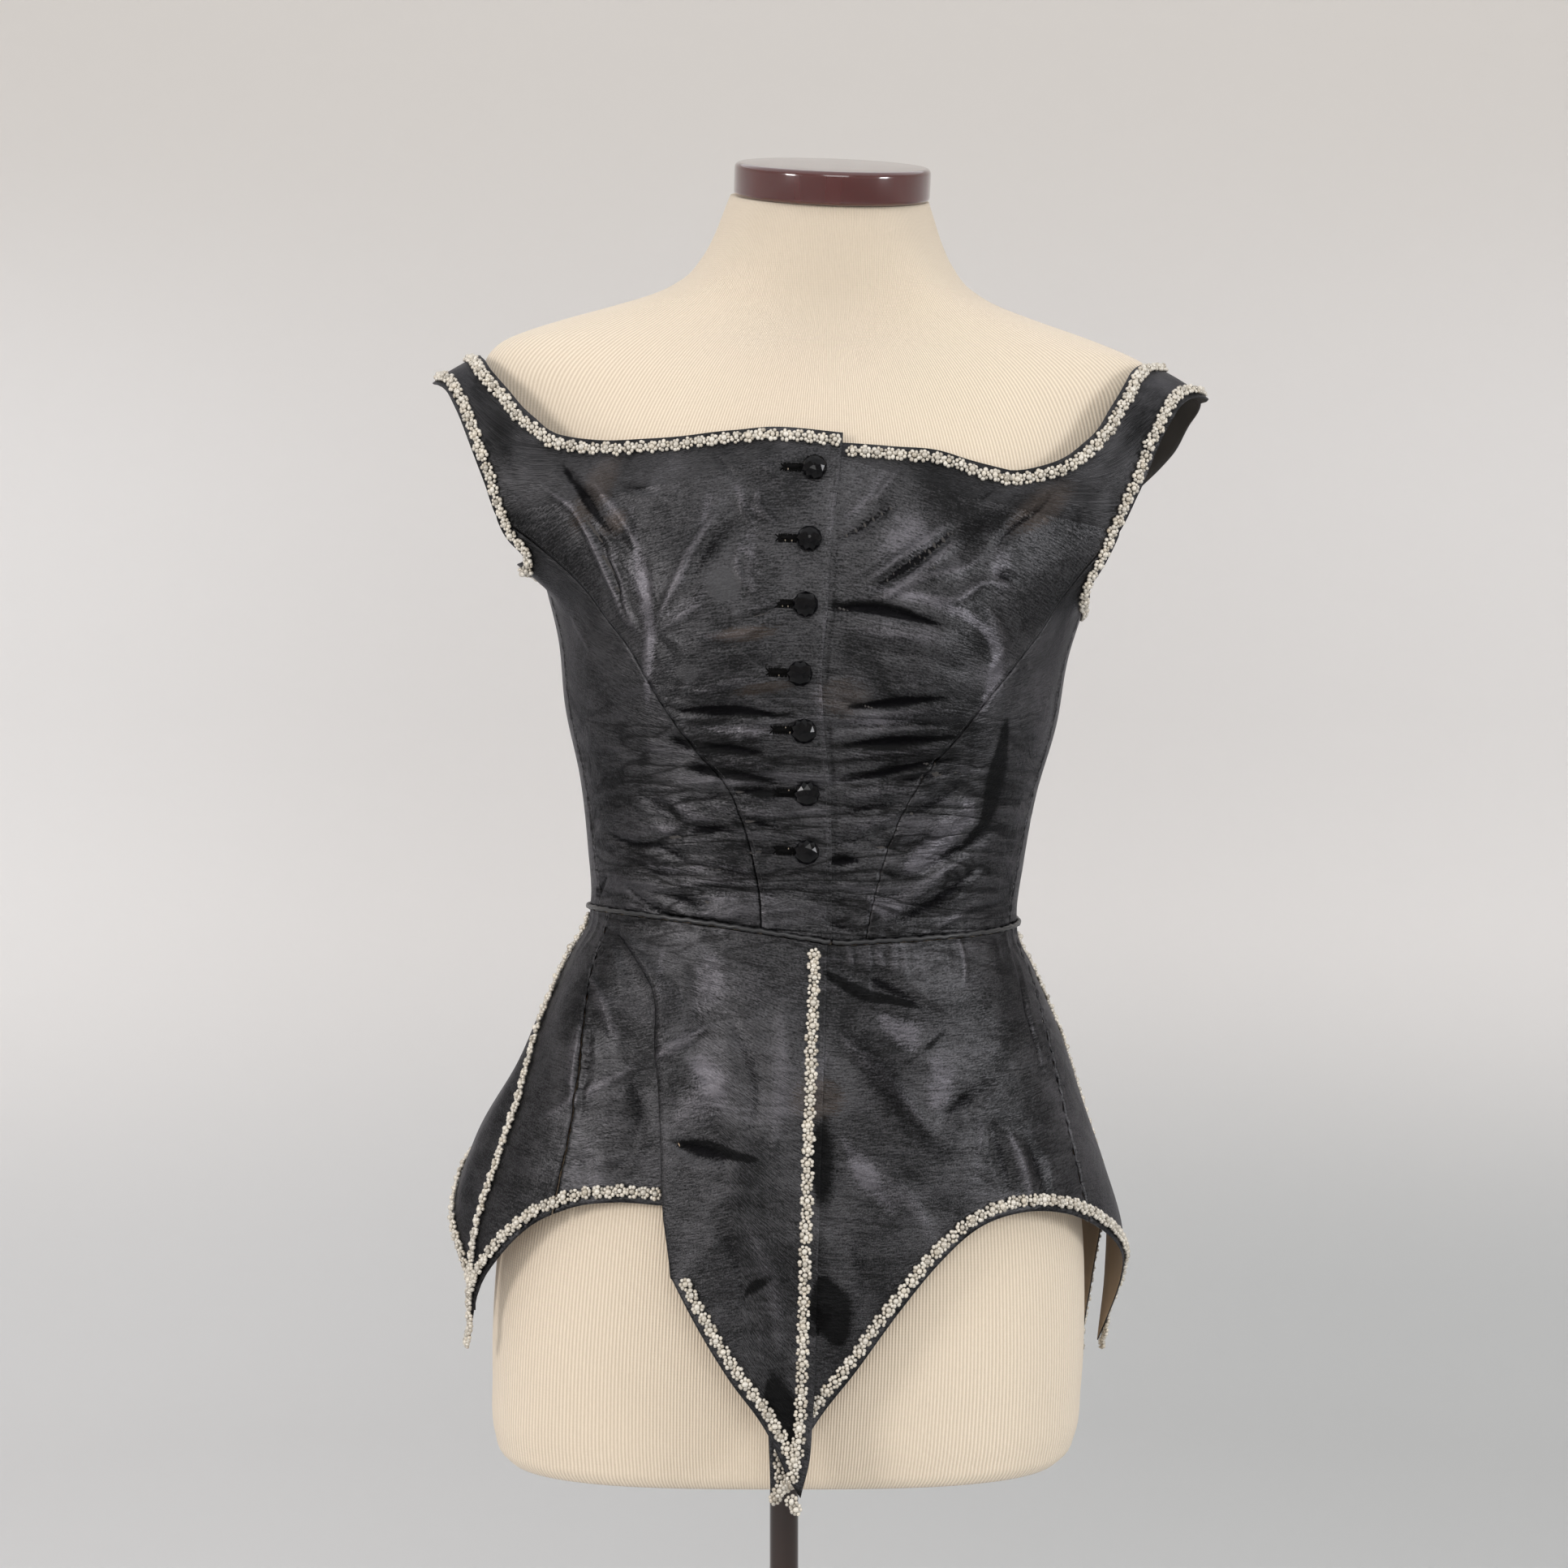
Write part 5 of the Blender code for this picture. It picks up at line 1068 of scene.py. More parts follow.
def silk_finish():
    """Black taffeta: charcoal with random tone and stains, painted near-black shade in the folds and
    painted violet-grey highlights on the crests.
    """
    finish = Finish("silk", Metallic=0.93, Specular_Tint=(0.75, 0.75, 0.78, 1))
    weave, _, _, _ = finish.stored("weave")
    spot, x, y, h = finish.stored("spot")
    _, fold, painted_light, _ = finish.stored("fold")
    slub = finish.noise(weave, (0.14, 0.95, 1.0), 3.0)
    grain = finish.noise(weave, (0.7, 1.1, 1.0), 3.0, 0.6)
    patches = finish.noise(spot, (0.022, 0.022, 0.018), 4.0, 0.8)
    rumple = finish.noise(spot, (0.03, 0.03, 0.05), 4.0, 0.6)
    pleat = (finish.noise(spot, (0.013, 0.013, 0.07), 3.0, 0.6) - 0.5).math("ABSOLUTE")
    drawn = h.within(470.0, 395.0) * (h.within(270.0, 320.0) * 0.65 + 0.35)
    front = y.within(0.0, -20.0)
    ragged = (grain - 0.5) * 1.2
    uneven = (slub - 0.5) * 0.8 + ragged
    pale = marked(x, h, PALE_SPOTS, 0.35, ragged * 0.3) * front
    brown = marked(x, h, BROWN_MARKS, 1.1, ragged + (slub - 0.5) * 2.0) * front
    dark = marked(x, h, DARK_PETALS, 0.8, ragged) * front
    tone = (grain + slub * 0.8 + patches * 1.1).within(1.15, 1.75)
    # Painted highlights where the light rows and the cloudy patches put them.
    painted_sheen = (painted_light + uneven * 0.8 + (patches - 0.5) * 2.2).within(0.18, 1.05)
    colour = finish.mix(tone, GROUND_DARK, GROUND_LIGHT)
    # Over the random ground tone: painted highlights between the pleats, where the light rows put them and on the     crease crests; the pale and brown stains; then painted shade in the pleat creases, where the light rows go     below zero and in the crease troughs; and the dark petal marks.
    layers = [(pleat.within(0.07, 0.2) * drawn * 0.4, PAINTED_PLEAT_HIGHLIGHT), (painted_sheen * (tone * 0.55 + 0.4), PAINTED_SHEEN),
              ((fold + uneven * 0.7).within(0.3, 1.7) * (tone * 0.5 + 0.25), PAINTED_CREST_HIGHLIGHT), (pale, PALE_STAIN),
              (brown * 0.6, BROWN_STAIN), (pleat.within(0.05, 0.0) * drawn * 0.75, PAINTED_PLEAT_SHADE),
              ((painted_light + uneven * 0.5).within(-0.2, -0.9) * 0.92, PAINTED_SHADE), (dark, PETAL_DARK),
              ((fold + uneven).within(-0.75, -1.95) * 0.95, PAINTED_TROUGH_SHADE)]
    for amount, shade in layers:
        colour = finish.mix(amount, colour, shade)
    finish.set("Base_Color", colour)
    finish.set("Roughness", 0.27 + slub * 0.14 + patches * 0.14 + pale * 0.1)
    threads = finish.bump(slub + grain * 0.9, 0.00028)
    finish.set("Normal", finish.bump(rumple * (drawn * 0.5 + 0.5) + pleat * drawn * 1.1, 0.003, 1.0, threads))
    return finish.material


def lining_finish(name, light, shade):
    """A plain cotton inside."""
    finish = Finish(name, Roughness=0.85)
    weave, _, _, _ = finish.stored("weave")
    threads = finish.noise(weave, (1.6, 1.6, 1.0), 2.0)
    finish.set("Base_Color", finish.mix(threads, shade, light))
    finish.set("Normal", finish.bump(threads, 0.0002))
    return finish.material


def glass_finish():
    """Silver-lined glass beads, each a little different."""
    finish = Finish("beads", Metallic=0.2, Coat_Weight=0.35, Coat_Roughness=0.1)
    _, tone, warm, _ = finish.stored("tone")
    colour = finish.mix(tone, (0.27, 0.245, 0.205), (0.7, 0.66, 0.585))
    colour = finish.mix(warm * 0.4, colour, (0.5, 0.41, 0.28))
    finish.set("Base_Color", colour)
    finish.set("Roughness", 0.18 + tone * 0.25)
    return finish.material


def rib_finish():
    """Cream cotton rib knit, in fine upright ribs, with painted shade in the grooves between them."""
    finish = Finish("rib_knit", Roughness=0.9, Sheen_Weight=0.25, Sheen_Roughness=0.5)
    _, turn, rise, _ = finish.stored("rib")
    rib = (turn * RIBS * 2 * math.pi).math("SINE") * 0.5 + 0.5
    stitch = (rise * 2 * math.pi / KNIT_ROW).math("SINE") * 0.5 + 0.5
    spot, _, _, _ = finish.stored("spot")
    patches = finish.noise(spot, (0.012, 0.012, 0.008), 3.0)
    fuzz = finish.noise(spot, (0.9, 0.9, 0.7), 2.0)
    colour = finish.mix(patches, (0.765, 0.66, 0.52), (0.81, 0.71, 0.575))
    # Painted shade in the grooves between the ribs, and a little random darkening from the fuzz.
    colour = finish.mix((1.0 - rib) * 0.6 + fuzz * 0.16, colour, (0.47, 0.375, 0.27))
    finish.set("Base_Color", colour)
    finish.set("Normal", finish.bump(rib + stitch * 0.15 + fuzz * 0.3, 0.0004, 0.8))
    return finish.material


def wood_finish(name, dark, light, roughness, coat):
    """Stained wood or lacquer with a clear coat."""
    finish = Finish(name, Coat_Weight=coat, Coat_Roughness=0.06)
    place = finish.node("TexCoord").outputs["Object"]
    grain = finish.noise(place, (60.0, 60.0, 4.0), 4.0, 0.5)
    finish.set("Base_Color", finish.mix(grain, dark, light))
    finish.set("Roughness", roughness + grain * 0.12)
    finish.set("Normal", finish.bump(grain, 0.0001))
    return finish.material


def plain_finish(name, colour, roughness, **settings):
    """One colour, with a gloss that varies a little."""
    finish = Finish(name, Base_Color=colour, **settings)
    place = finish.node("TexCoord").outputs["Object"]
    fleck = finish.noise(place, (300.0, 300.0, 300.0), 2.0)
    finish.set("Roughness", roughness + fleck * 0.08)
    return finish.material


# How many ribs go round the form, and the height of a knitted row in mm.
RIBS, KNIT_ROW = 460, 1.5
silk = silk_finish()
dark_lining = lining_finish("bodice_lining", (0.05, 0.045, 0.042), (0.03, 0.027, 0.025))
tan_lining = lining_finish("peplum_lining", (0.36, 0.27, 0.18), (0.25, 0.18, 0.12))
glass = glass_finish()
cord_silk = plain_finish("silk_cord", (0.012, 0.012, 0.013), 0.34)
jet = plain_finish("jet", (0.002, 0.002, 0.0025), 0.01, Specular_IOR_Level=0.17)
thread = plain_finish("silk_thread", (0.012, 0.012, 0.013), 0.4)
# Near black, for the buttonhole threads and for the beads that stand for the shade inside the slits.
black_thread_and_slit_shade = plain_finish("black_thread_and_slit_shade", (0.0015, 0.0015, 0.0015), 0.7, Specular_IOR_Level=0.08)
pale_thread = plain_finish("pale_thread", (0.5, 0.42, 0.32), 0.6)
rib_knit = rib_finish()
lacquer = wood_finish("red_lacquer", (0.045, 0.006, 0.005), (0.075, 0.01, 0.008), 0.1, 0.8)
wood = wood_finish("dark_wood", (0.004, 0.002, 0.0015), (0.05, 0.025, 0.018), 0.1, 0.15)


def shifted_rows(rows, side):
    """The hidden creases for one side, in places that differ a little on the right."""
    move = (0, 0) if side > 0 else (3, 5)
    return [(depth * 0.7, wide, [((a + move[0]) * side, h + move[1]) for a, h in places])
            for depth, wide, places in rows]


def bodice_panel(name, places, lift, creases, upright, waist_seed, painted_light_rows=(), below=None):
    """One panel of the bodice. Upright lists its side seams: edge, seed, ridge, pucker, and if that fades.
    Below marks the rows under a neckline and an armhole, where a panel has them."""
    cloth = Cloth(bodice, places, lift)
    cloth.crease(creases, painted_light_rows, SINK)
    trimmed = cloth.high if below is None else np.where(below, FAR, np.minimum(cloth.left, cloth.right))
    cloth.calm(trimmed, CALM_BODICE)
    for edge, seed, ridge, pucker, fades in upright:
        away = getattr(cloth, edge)
        if below is not None:
            away = np.where(below, away, FAR)
        if fades:
            pucker = pucker * ease(-cloth.height, -FADE_TO, -FADE_FROM)
        cloth.seam(away, cloth.down, seed, ridge, pucker)
    cloth.seam(cloth.low, cloth.across, waist_seed, 0.0, 0.4)
    shell(name, cloth, dark_lining)


def bodice_front(side, word):
    inner, outer, bottom, top = front_lines(side)
    rows = split_steps(FRONT_CORNER, 121, 95)
    places = patch(inner, shifted(outer, -HALF_SEAM * side), bottom, top, np.linspace(0, 1, 121), rows)
    lift = bodice_lift(side)(places[..., 0], places[..., 1])
    bodice_panel(f"bodice_front_{word}", places, lift, BODICE_FOLDS, [("right", 1.0 + side, 0.45, 0.5, True)],
                 2.2, BODICE_PAINTED_LIGHT, (rows < FRONT_CORNER)[:, None])


def bodice_sides(side, word):
    gap = HALF_SEAM * side
    princess, side_seam, back_seam = princess_line(side), side_line(side), back_line(side)
    top, top_back = underarm_lines(side)
    first, middle, last = princess(np.zeros(1))[0, 0], SIDE_WAIST * side, BACK_WAIST * side
    rows = np.linspace(0, 1, 101)
    places = patch(shifted(princess, gap), shifted(side_seam, -gap), along_waist(first, middle), top,
                   np.linspace(0, 1, 51), rows)
    seams = [("left", 3.0 + side, 0.2, 0.6, True), ("right", 4.0, 0.3, 0.35, False)]
    bodice_panel(f"bodice_side_front_{word}", places, LIE, BODICE_FOLDS, seams, 5.0, BODICE_PAINTED_LIGHT)

    places = patch(shifted(side_seam, gap), shifted(back_seam, -gap), along_waist(middle, last), top_back,
                   np.linspace(0, 1, 75), rows)
    seams = [(edge, 6.0, 0.3, 0.35, False) for edge in ("left", "right")]
    creases = BODICE_FOLDS + shifted_rows(HIDDEN_BODICE_CREASES, side)
    bodice_panel(f"bodice_side_back_{word}", places, LIE, creases, seams, 7.0)


def bodice_back(side, word):
    gap = HALF_SEAM * side
    outer, inner = back_edges(side)
    strap_end = line([(90 * side, STRAP_OUT[side]), (90 * side, STRAP_TOP[side])])
    bottom = along_waist(BACK_WAIST * side, 180 * side)
    rows = split_steps(BACK_CORNER, 111, 75)
    places = patch(shifted(outer, gap), shifted(inner, -gap), bottom, strap_end, np.linspace(0, 1, 41), rows)
    seams = [("left", 8.0, 0.3, 0.35, False), ("right", 9.0, 0.3, 0.3, False)]
    bodice_panel(f"bodice_back_{word}", places, LIE, shifted_rows(HIDDEN_BODICE_CREASES, side), seams, 9.5,
                 below=(rows < BACK_CORNER)[:, None])


def gathers():
    """Short folds that run down from the piping, uneven in place, depth and length."""
    rng = np.random.default_rng(11)
    rows = []
    for start, end, count, rise in GATHERS:
        for angle in np.linspace(start, end, count) + rng.uniform(-0.9, 0.9, count):
            top = waist(angle) + 1
            length = rng.uniform(14, 34)
            rows.append((rise * rng.uniform(0.4, 1.0), rng.uniform(1.3, 2.1),
                         [(angle, top), (angle + rng.uniform(-0.8, 0.8), top - 0.5 * length),
                          (angle + rng.uniform(-1.6, 1.6), top - length)]))
    return rows


def peplum_panel(name, places, lift, seams, side):
    """One panel of the peplum. Its troughs may sink less near the waist, where the form is close behind.
    Seams lists the edges that are sewn, each with its seed."""
    cloth = Cloth(skirt, places, lift)
    rows = PEPLUM_FOLDS + gathers() + shifted_rows(HIDDEN_PEPLUM_CREASES, side)
    cloth.crease(rows, PEPLUM_PAINTED_LIGHT, 0.9 + 1.6 * ease(-cloth.height, -290, -230))
    cloth.calm(cloth.high, CALM_PEPLUM)
    for edge, seed in seams:
        cloth.seam(getattr(cloth, edge), cloth.down, seed, 0.4, 0.55)
    shell(name, cloth, tan_lining)


def fluted_places(rows):
    """The right peplum front: plain to the flute, three layers there, then plain to its side seam."""
    centre, seam, edge = by_height(CENTRE_RIGHT), by_height(SEAM_RIGHT), by_height(FOLD_EDGE)
    hem, side_hem = np.array(HEM_RIGHT[::-1], float), np.array(HEM_RIGHT_SIDE[::-1], float)
    last = len(FLUTE) - 1
    inner = [(u, None) for u in np.linspace(0, 1, 48)[:-1]]
    flute = [(None, k) for k in np.linspace(0, last, 6 * last + 1)]
    outer = [(1 + u, None) for u in np.linspace(0, 1, 23)[1:]]
    places, lifts = [], []
    for u, k in inner + flute + outer:
        height = np.full(len(rows), 200.0)
        for _ in range(30):
            scale = mm_per_degree(skirt, edge(height), height)
            near = k if k is not None else 0 if u < 1 else last
            flat, folded, rise = (smooth(np.arange(last + 1), FLUTE[:, column], near) for column in range(3))
            angle = edge(height) + flute_offset(height, flat, folded) / scale
            lift = rise * flute_rise(height)
            if k is None and u < 1:
                angle = centre(height) + (angle - centre(height)) * u
                lift = 0 * lift
            elif k is None:
                angle = angle + (seam(height) + 2 * HALF_SEAM - angle) * (u - 1)
                lift = lift * (2 - u)
            if near < last:
                lift = lift + front_right_lift(angle, height)
            plain, far = (smooth(row[:, 0], row[:, 1], angle[-1]) for row in (hem, side_hem))
            turned_hem = TURNED_HEM + (near - TURN_FROM) * TURNED_STEP
            low = plain + (turned_hem - plain) * np.clip(near - TURN_FROM, 0, 1)
            low = low + (far - low) * np.clip(near - TURN_TO, 0, 1)
            top = waist(angle[0]) - WAIST_GAP
            height = 0.5 * height + 0.5 * (top + (low - top) * rows)
        places.append(np.stack([angle, height], -1))
        lifts.append(lift)
    return np.stack(places, 1), np.stack(lifts, 1)


def peplum_panels():
    rows = down_steps(121)
    places, lifts = fluted_places(rows)
    peplum_panel("peplum_front_right", places, lifts, [("right", 1.0)], -1)
    seam_right, seam_left, seam_behind = ([(a + gap, h) for a, h in seam] for seam, gap in
                                          ((SEAM_RIGHT, -CLEAR_RIGHT), (SEAM_LEFT, -CLEAR_LEFT),
                                           (SEAM_LEFT, CLEAR_LEFT)))
    for name, first, last, hem, columns, seams, side in (
            ("side_right", seam_right, SLIT_RIGHT, HEM_RIGHT_SIDE, 31, [("left", 2.0)], -1),
            ("front_left", CENTRE_LEFT, seam_left, HEM_LEFT, 95, [("right", 3.0)], 1),
            ("side_left", seam_behind, SLIT_LEFT, HEM_LEFT, 31, [("left", 4.0)], 1)):
        places = hanging(first, last, hem, np.linspace(0, 1, columns), rows)
        peplum_panel(f"peplum_{name}", places, 0.0, seams, side)
    for side, word, edge, hem in ((-1, "right", BACK_RIGHT, HEM_BACK_RIGHT),
                                  (1, "left", BACK_LEFT, HEM_BACK_LEFT)):
        centre = [(a * side, h) for a, h in CENTRE_BACK]
        places = hanging(edge, centre, hem, np.linspace(0, 1, 105), rows)
        peplum_panel(f"peplum_back_{word}", places, back_tuck(places[..., 0], places[..., 1], side), (), side)


def ball(segments, rings):
    """A small ball's points and faces."""
    points = [(0, 0, 1)]
    for i in range(1, rings):
        rise, wide = math.cos(math.pi * i / rings), math.sin(math.pi * i / rings)
        turns = [2 * math.pi * j / segments for j in range(segments)]
        points += [(wide * math.cos(turn), wide * math.sin(turn), rise) for turn in turns]
    points.append((0, 0, -1))
    faces = [(0, 1 + j, 1 + (j + 1) % segments) for j in range(segments)]
    for i in range(rings - 2):
        for j in range(segments):
            a, b = 1 + i * segments + j, 1 + i * segments + (j + 1) % segments
            faces += [(a, a + segments, b), (b, a + segments, b + segments)]
    end = len(points) - 1
    faces += [(end - segments + (j + 1) % segments, end - segments + j, end) for j in range(segments)]
    return np.array(points, float), np.array(faces)


BEAD_POINTS, BEAD_FACES = ball(6, 4)
STITCH_POINTS, STITCH_FACES = ball(5, 4)
# A bead flower: how many petals, from flower to flower, the petals' ring, and the beads' radii.
PETALS, FLOWER_PITCH, PETAL_RING, PETAL_SIZE, HEART_SIZE = 8, 6.7, 2.7, 1.22, 1.7
# How far the flowers lie off the silk, along a band and at a point.
BAND_RISE, TIP_RISE = 0.7, 1.1


def resampled(points, pitch):
    """Even steps along a line, each as a place between 0 and the last point."""
    length = np.concatenate([[0], np.cumsum(np.linalg.norm(np.diff(points, axis=0), axis=1))])
    count = max(1, round(length[-1] / pitch))
    at = (np.arange(count) + 0.5) * length[-1] / count
    return np.interp(at, length, np.arange(len(points)))


def along_points(points, at):
    """The points at such places."""
    low = np.clip(at.astype(int), 0, len(points) - 2)
    return points[low] + (points[low + 1] - points[low]) * (at - low)[:, None]


def flowers(name, centres, across, normals):
    """Bead flowers, each a ring of petals round a raised heart."""
    rng = np.random.default_rng(len(name) * 7 + int(abs(centres[0, 0])))
    along = np.cross(normals, across)
    places, sizes = [], []
    for c, a, r, n in zip(centres, across, along, normals):
        turn = rng.uniform(0, math.tau)
        c = c + a * rng.normal(0, 0.25) + r * rng.normal(0, 0.25)
        for k in range(PETALS):
            t = turn + math.tau * k / PETALS + rng.normal(0, 0.1)
            out = PETAL_RING * rng.uniform(0.88, 1.1)
            places.append(c + (a * math.cos(t) + r * math.sin(t)) * out + n * rng.uniform(0.2, 1.1))
            sizes.append(PETAL_SIZE * rng.uniform(0.86, 1.12))
        places.append(c + n * rng.uniform(1.1, 1.6))
        sizes.append(HEART_SIZE * rng.uniform(0.9, 1.1))
    places, sizes = np.array(places), np.array(sizes)
    stretch = rng.uniform(0.85, 1.15, (len(places), 1, 3))
    points = places[:, None] + BEAD_POINTS[None] * sizes[:, None, None] * stretch
    obj = copies(name, points, BEAD_FACES, glass)
    tone = np.stack([rng.beta(2.2, 1.1, len(places)), rng.beta(1.0, 2.4, len(places)), 0 * sizes], -1)
    give(obj, "tone", np.repeat(tone, len(BEAD_POINTS), axis=0))
    return obj


def bead_band(name, surface, run, side, lift, inset=TRIM_INSET):
    """Bead flowers along a line of places."""
    parts = [beside(surface, run, side * (inset + TRIM_WIDTH * k)) for k in (0.1, 0.5, 0.9)]
    base = [lifted(surface, p[:, 0], p[:, 1], lift(p[:, 0], p[:, 1]) + WALL + BAND_RISE) for p in parts]
    at = resampled(base[1], FLOWER_PITCH)
    near, centre, far = (along_points(points, at) for points in base)
    across = unit(far - near)
    normal = unit(np.cross(across, along_points(np.gradient(base[1], axis=0), at)))
    facing = outward(surface, parts[1][:, 0], parts[1][:, 1])
    normal *= np.sign((normal * along_points(facing, at)).sum(1, keepdims=True))
    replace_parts(flowers(name + "_beads", centre, across, normal), name)


def tip_beads(name, places, lift):
    """A cluster of bead flowers on a point of the peplum."""
    places = np.array(places, float)
    angle, height = places[:, 0], places[:, 1]
    normal = outward(skirt, angle, height)
    across = unit(np.cross((0, 0, 1), normal))
    flowers(name, lifted(skirt, angle, height, lift(angle, height) + WALL + TIP_RISE), across, normal)


def bodice_trim():
    for side, word in SIDES:
        inner, outer, _, _ = front_lines(side)
        run = inner(np.clip(np.linspace(NECK_TRIM_START[side], 1, 60), 0, 0.9995))
        bead_band(f"trim_neck_{word}", bodice, run, -side, bodice_lift(side))
        front = outer(np.clip(np.linspace(FRONT_CORNER + 0.0005, 1, 50), 0, 0.9995))[::-1]
        low_front, low_back = underarm_lines(side)
        behind = back_armhole(side)(np.linspace(0, 0.985, 40))
        run = np.concatenate([front[:-1], low_front(np.linspace(0, 1, 16))[:-1],
                              low_back(np.linspace(0, 1, 22))[:-1], behind])
        bead_band(f"trim_armhole_{word}", bodice, run, -side, plain_lift)
    steps = 0.005 + 0.995 * np.linspace(0, 1, 60) ** 1.3
    half = line([(91, STRAP_TOP[1]), *NECK_BACK[::-1]])(steps)
    other = line([(91, STRAP_TOP[-1]), *NECK_BACK[::-1]])(steps)[::-1][1:]
    other = other * np.array([-1, 1]) + np.array([360, 0])
    bead_band("trim_neck_back", bodice_round, np.concatenate([half, other]), -1, plain_lift)


def peplum_trim():
    run = edge_run(CENTRE_RIGHT, 12, 296.5)
    bead_band("trim_centre_right", skirt, run, -1, front_right_lift, CENTRE_INSET)
    run = hem_run(HEM_RIGHT, CENTRE_RIGHT, FOLD_EDGE, 12, 1, 40)
    bead_band("trim_hem_right", skirt, run, 1, outer_flute_lift, HEM_INSET)
    run = hem_run(HEM_RIGHT_SIDE, [(-33.5, 60), (-33.5, 200)], SLIT_RIGHT, 0.5, 9, 40)
    bead_band("trim_hem_side_right", skirt, run, 1, inner_flute_lift, HEM_INSET)
    bead_band("trim_slit_right", skirt, edge_run(SLIT_RIGHT, 70, 305.5), 1, no_lift)
    bead_band("trim_centre_left", skirt, edge_run(CENTRE_LEFT, 12, 252), 1, no_lift)
    run = hem_run(HEM_LEFT, CENTRE_LEFT, SLIT_LEFT, 12, 9, 60)
    bead_band("trim_hem_left", skirt, run, 1, no_lift, HEM_INSET)
    bead_band("trim_slit_left", skirt, edge_run(SLIT_LEFT, 60, 305.5), -1, no_lift)
    for side, word, edge, hem, low in ((-1, "right", BACK_RIGHT, HEM_BACK_RIGHT, 80),
                                       (1, "left", BACK_LEFT, HEM_BACK_LEFT, 50)):
        tuck = lambda angle, height, side=side: back_tuck(angle, height, side)
        centre = [(a * side, h) for a, h in CENTRE_BACK]
        bead_band(f"trim_back_slit_{word}", skirt, edge_run(edge, low, 255), side, tuck)
        bead_band(f"trim_back_centre_{word}", skirt, edge_run(centre, 14, 306), -side, no_lift)
        run = hem_run(hem, edge, centre, 9, 10, 60)
        bead_band(f"trim_back_hem_{word}", skirt, run, 1, tuck, HEM_INSET)
        tip_beads(f"back_point_beads_{word}", [(177.4 * side, 8), (176.2 * side, 14)], no_lift)
        tip = min(hem, key=lambda row: abs(row[0]))
        tip_beads(f"back_side_beads_{word}", [(tip[0] + 0.8 * side, tip[1] + h) for h in (1, 6)], tuck)
    tip_beads("centre_point_beads_right", [(1.6, 4.5), (-1.4, 10), (2.6, 0.5)], front_right_lift)
    tip_beads("centre_point_beads_left", [(-2.2, 4), (0.2, 11)], no_lift)
    tip_beads("side_point_beads_right", [(-71.6, 70), (-72.1, 64.5)], no_lift)
    tip_beads("side_point_beads_left", [(102.0, 62), (102.4, 56)], no_lift)


def tube(name, points, radius, material, node):
    """A round cord along points."""
    curve = bpy.data.curves.new(name, "CURVE")
    curve.dimensions = "3D"
    curve.bevel_depth = radius * MM
    curve.bevel_resolution = 3
    curve.use_fill_caps = True
    spline = curve.splines.new("POLY")
    spline.points.add(len(points) - 1)
    spline.points.foreach_set("co", np.c_[stood(points), np.ones(len(points))].ravel())
    spline.use_smooth = True
    curve.materials.append(material)
    return settled(linked(name, curve), node)


def piping():
    """The corded piping over the waist seam, with the small wobbles of sewing."""
    for side, word in SIDES:
        angle = np.linspace(8.2 if side < 0 else 9.0, 179.8 * side, 220)
        lift = bodice_lift(side)(angle, waist(angle)) + WALL + PIPING_RADIUS - 0.1
        wobble = 0.25 * np.sin(angle * 1.7) + 0.2 * np.sin(angle * 0.83)
        points = lifted(bodice, angle, waist(angle) + 0.8 + wobble, lift)
        tube(f"waist_cord_{word}", points, PIPING_RADIUS * 0.92, cord_silk,
             f"waist_piping_{word}")


def button_frame(x, h):
    """A button's centre on the right front, and the directions out, across and up there."""
    angle = angle_at(bodice, x, h)
    normal = outward(bodice, angle, float(h))
    centre = lifted(bodice, angle, float(h), float(lap_lift(angle, float(h))) + WALL)
    across = unit(np.cross(normal, (0, 0, 1)))
    return centre, normal, across, np.cross(across, normal)


# A cut jet button's rings of corners: how many, radius, rise, turn as a share of a step. Then how far the
# whole button lies off the silk, and how much further each one is turned than the one above.
JET_RINGS = [(10, 5.6, 0.4, 0.5), (10, 7.0, 1.5, 0), (10, 7.0, 2.2, 0), (10, 5.6, 3.9, 0.5),
             (5, 3.4, 5.2, 0.25), (5, 0.9, 5.7, 0.25)]
JET_RISE, JET_TURN = 0.4, 0.31


def buttons():
    """Seven faceted jet buttons."""
    for number, (x, h) in enumerate(BUTTONS, 1):
        centre, normal, across, up = button_frame(x, h)
        mesh = bmesh.new()
        for count, radius, rise, turn in JET_RINGS:
            for j in range(count):
                t = math.tau * (j + turn) / count + JET_TURN * number
                out = across * math.cos(t) + up * math.sin(t)
                mesh.verts.new(stood(centre + normal * (rise + JET_RISE) + out * radius))
        bmesh.ops.convex_hull(mesh, input=mesh.verts)
        bmesh.ops.recalc_face_normals(mesh, faces=mesh.faces)
        data = bpy.data.meshes.new(f"jet_button_{number}")
        mesh.to_mesh(data)
        mesh.free()
        data.materials.append(jet)
        settled(linked(f"jet_button_{number}", data), f"button_{number}")


def stitches(name, centres, ways, outs, length, radius, material):
    """Short threads as long beads, joined in one piece."""
    centres, ways, outs = (np.asarray(values, float) for values in (centres, ways, outs))
    ways = unit(ways)
    sides = unit(np.cross(outs, ways))
    outs = np.cross(ways, sides)
    shape = STITCH_POINTS[:, ::-1]
    points = (centres[:, None] + shape[None, :, :1] * length / 2 * ways[:, None]
              + shape[None, :, 1:2] * radius * sides[:, None] + shape[None, :, 2:] * radius * outs[:, None])
    copies(name, points, STITCH_FACES, material)


# A worked buttonhole: the slit's middle, its first stitch and the bar at its end, as seen from the button's
# centre, then from stitch to stitch, how many along a side, and the share of them that are worn pale.
SLIT_OUT, FIRST_STITCH, BAR_STITCH, STITCH_STEP, SIDE_STITCHES, WORN_SHARE = 11.2, 7.0, 10.4, 0.6, 17, 0.025


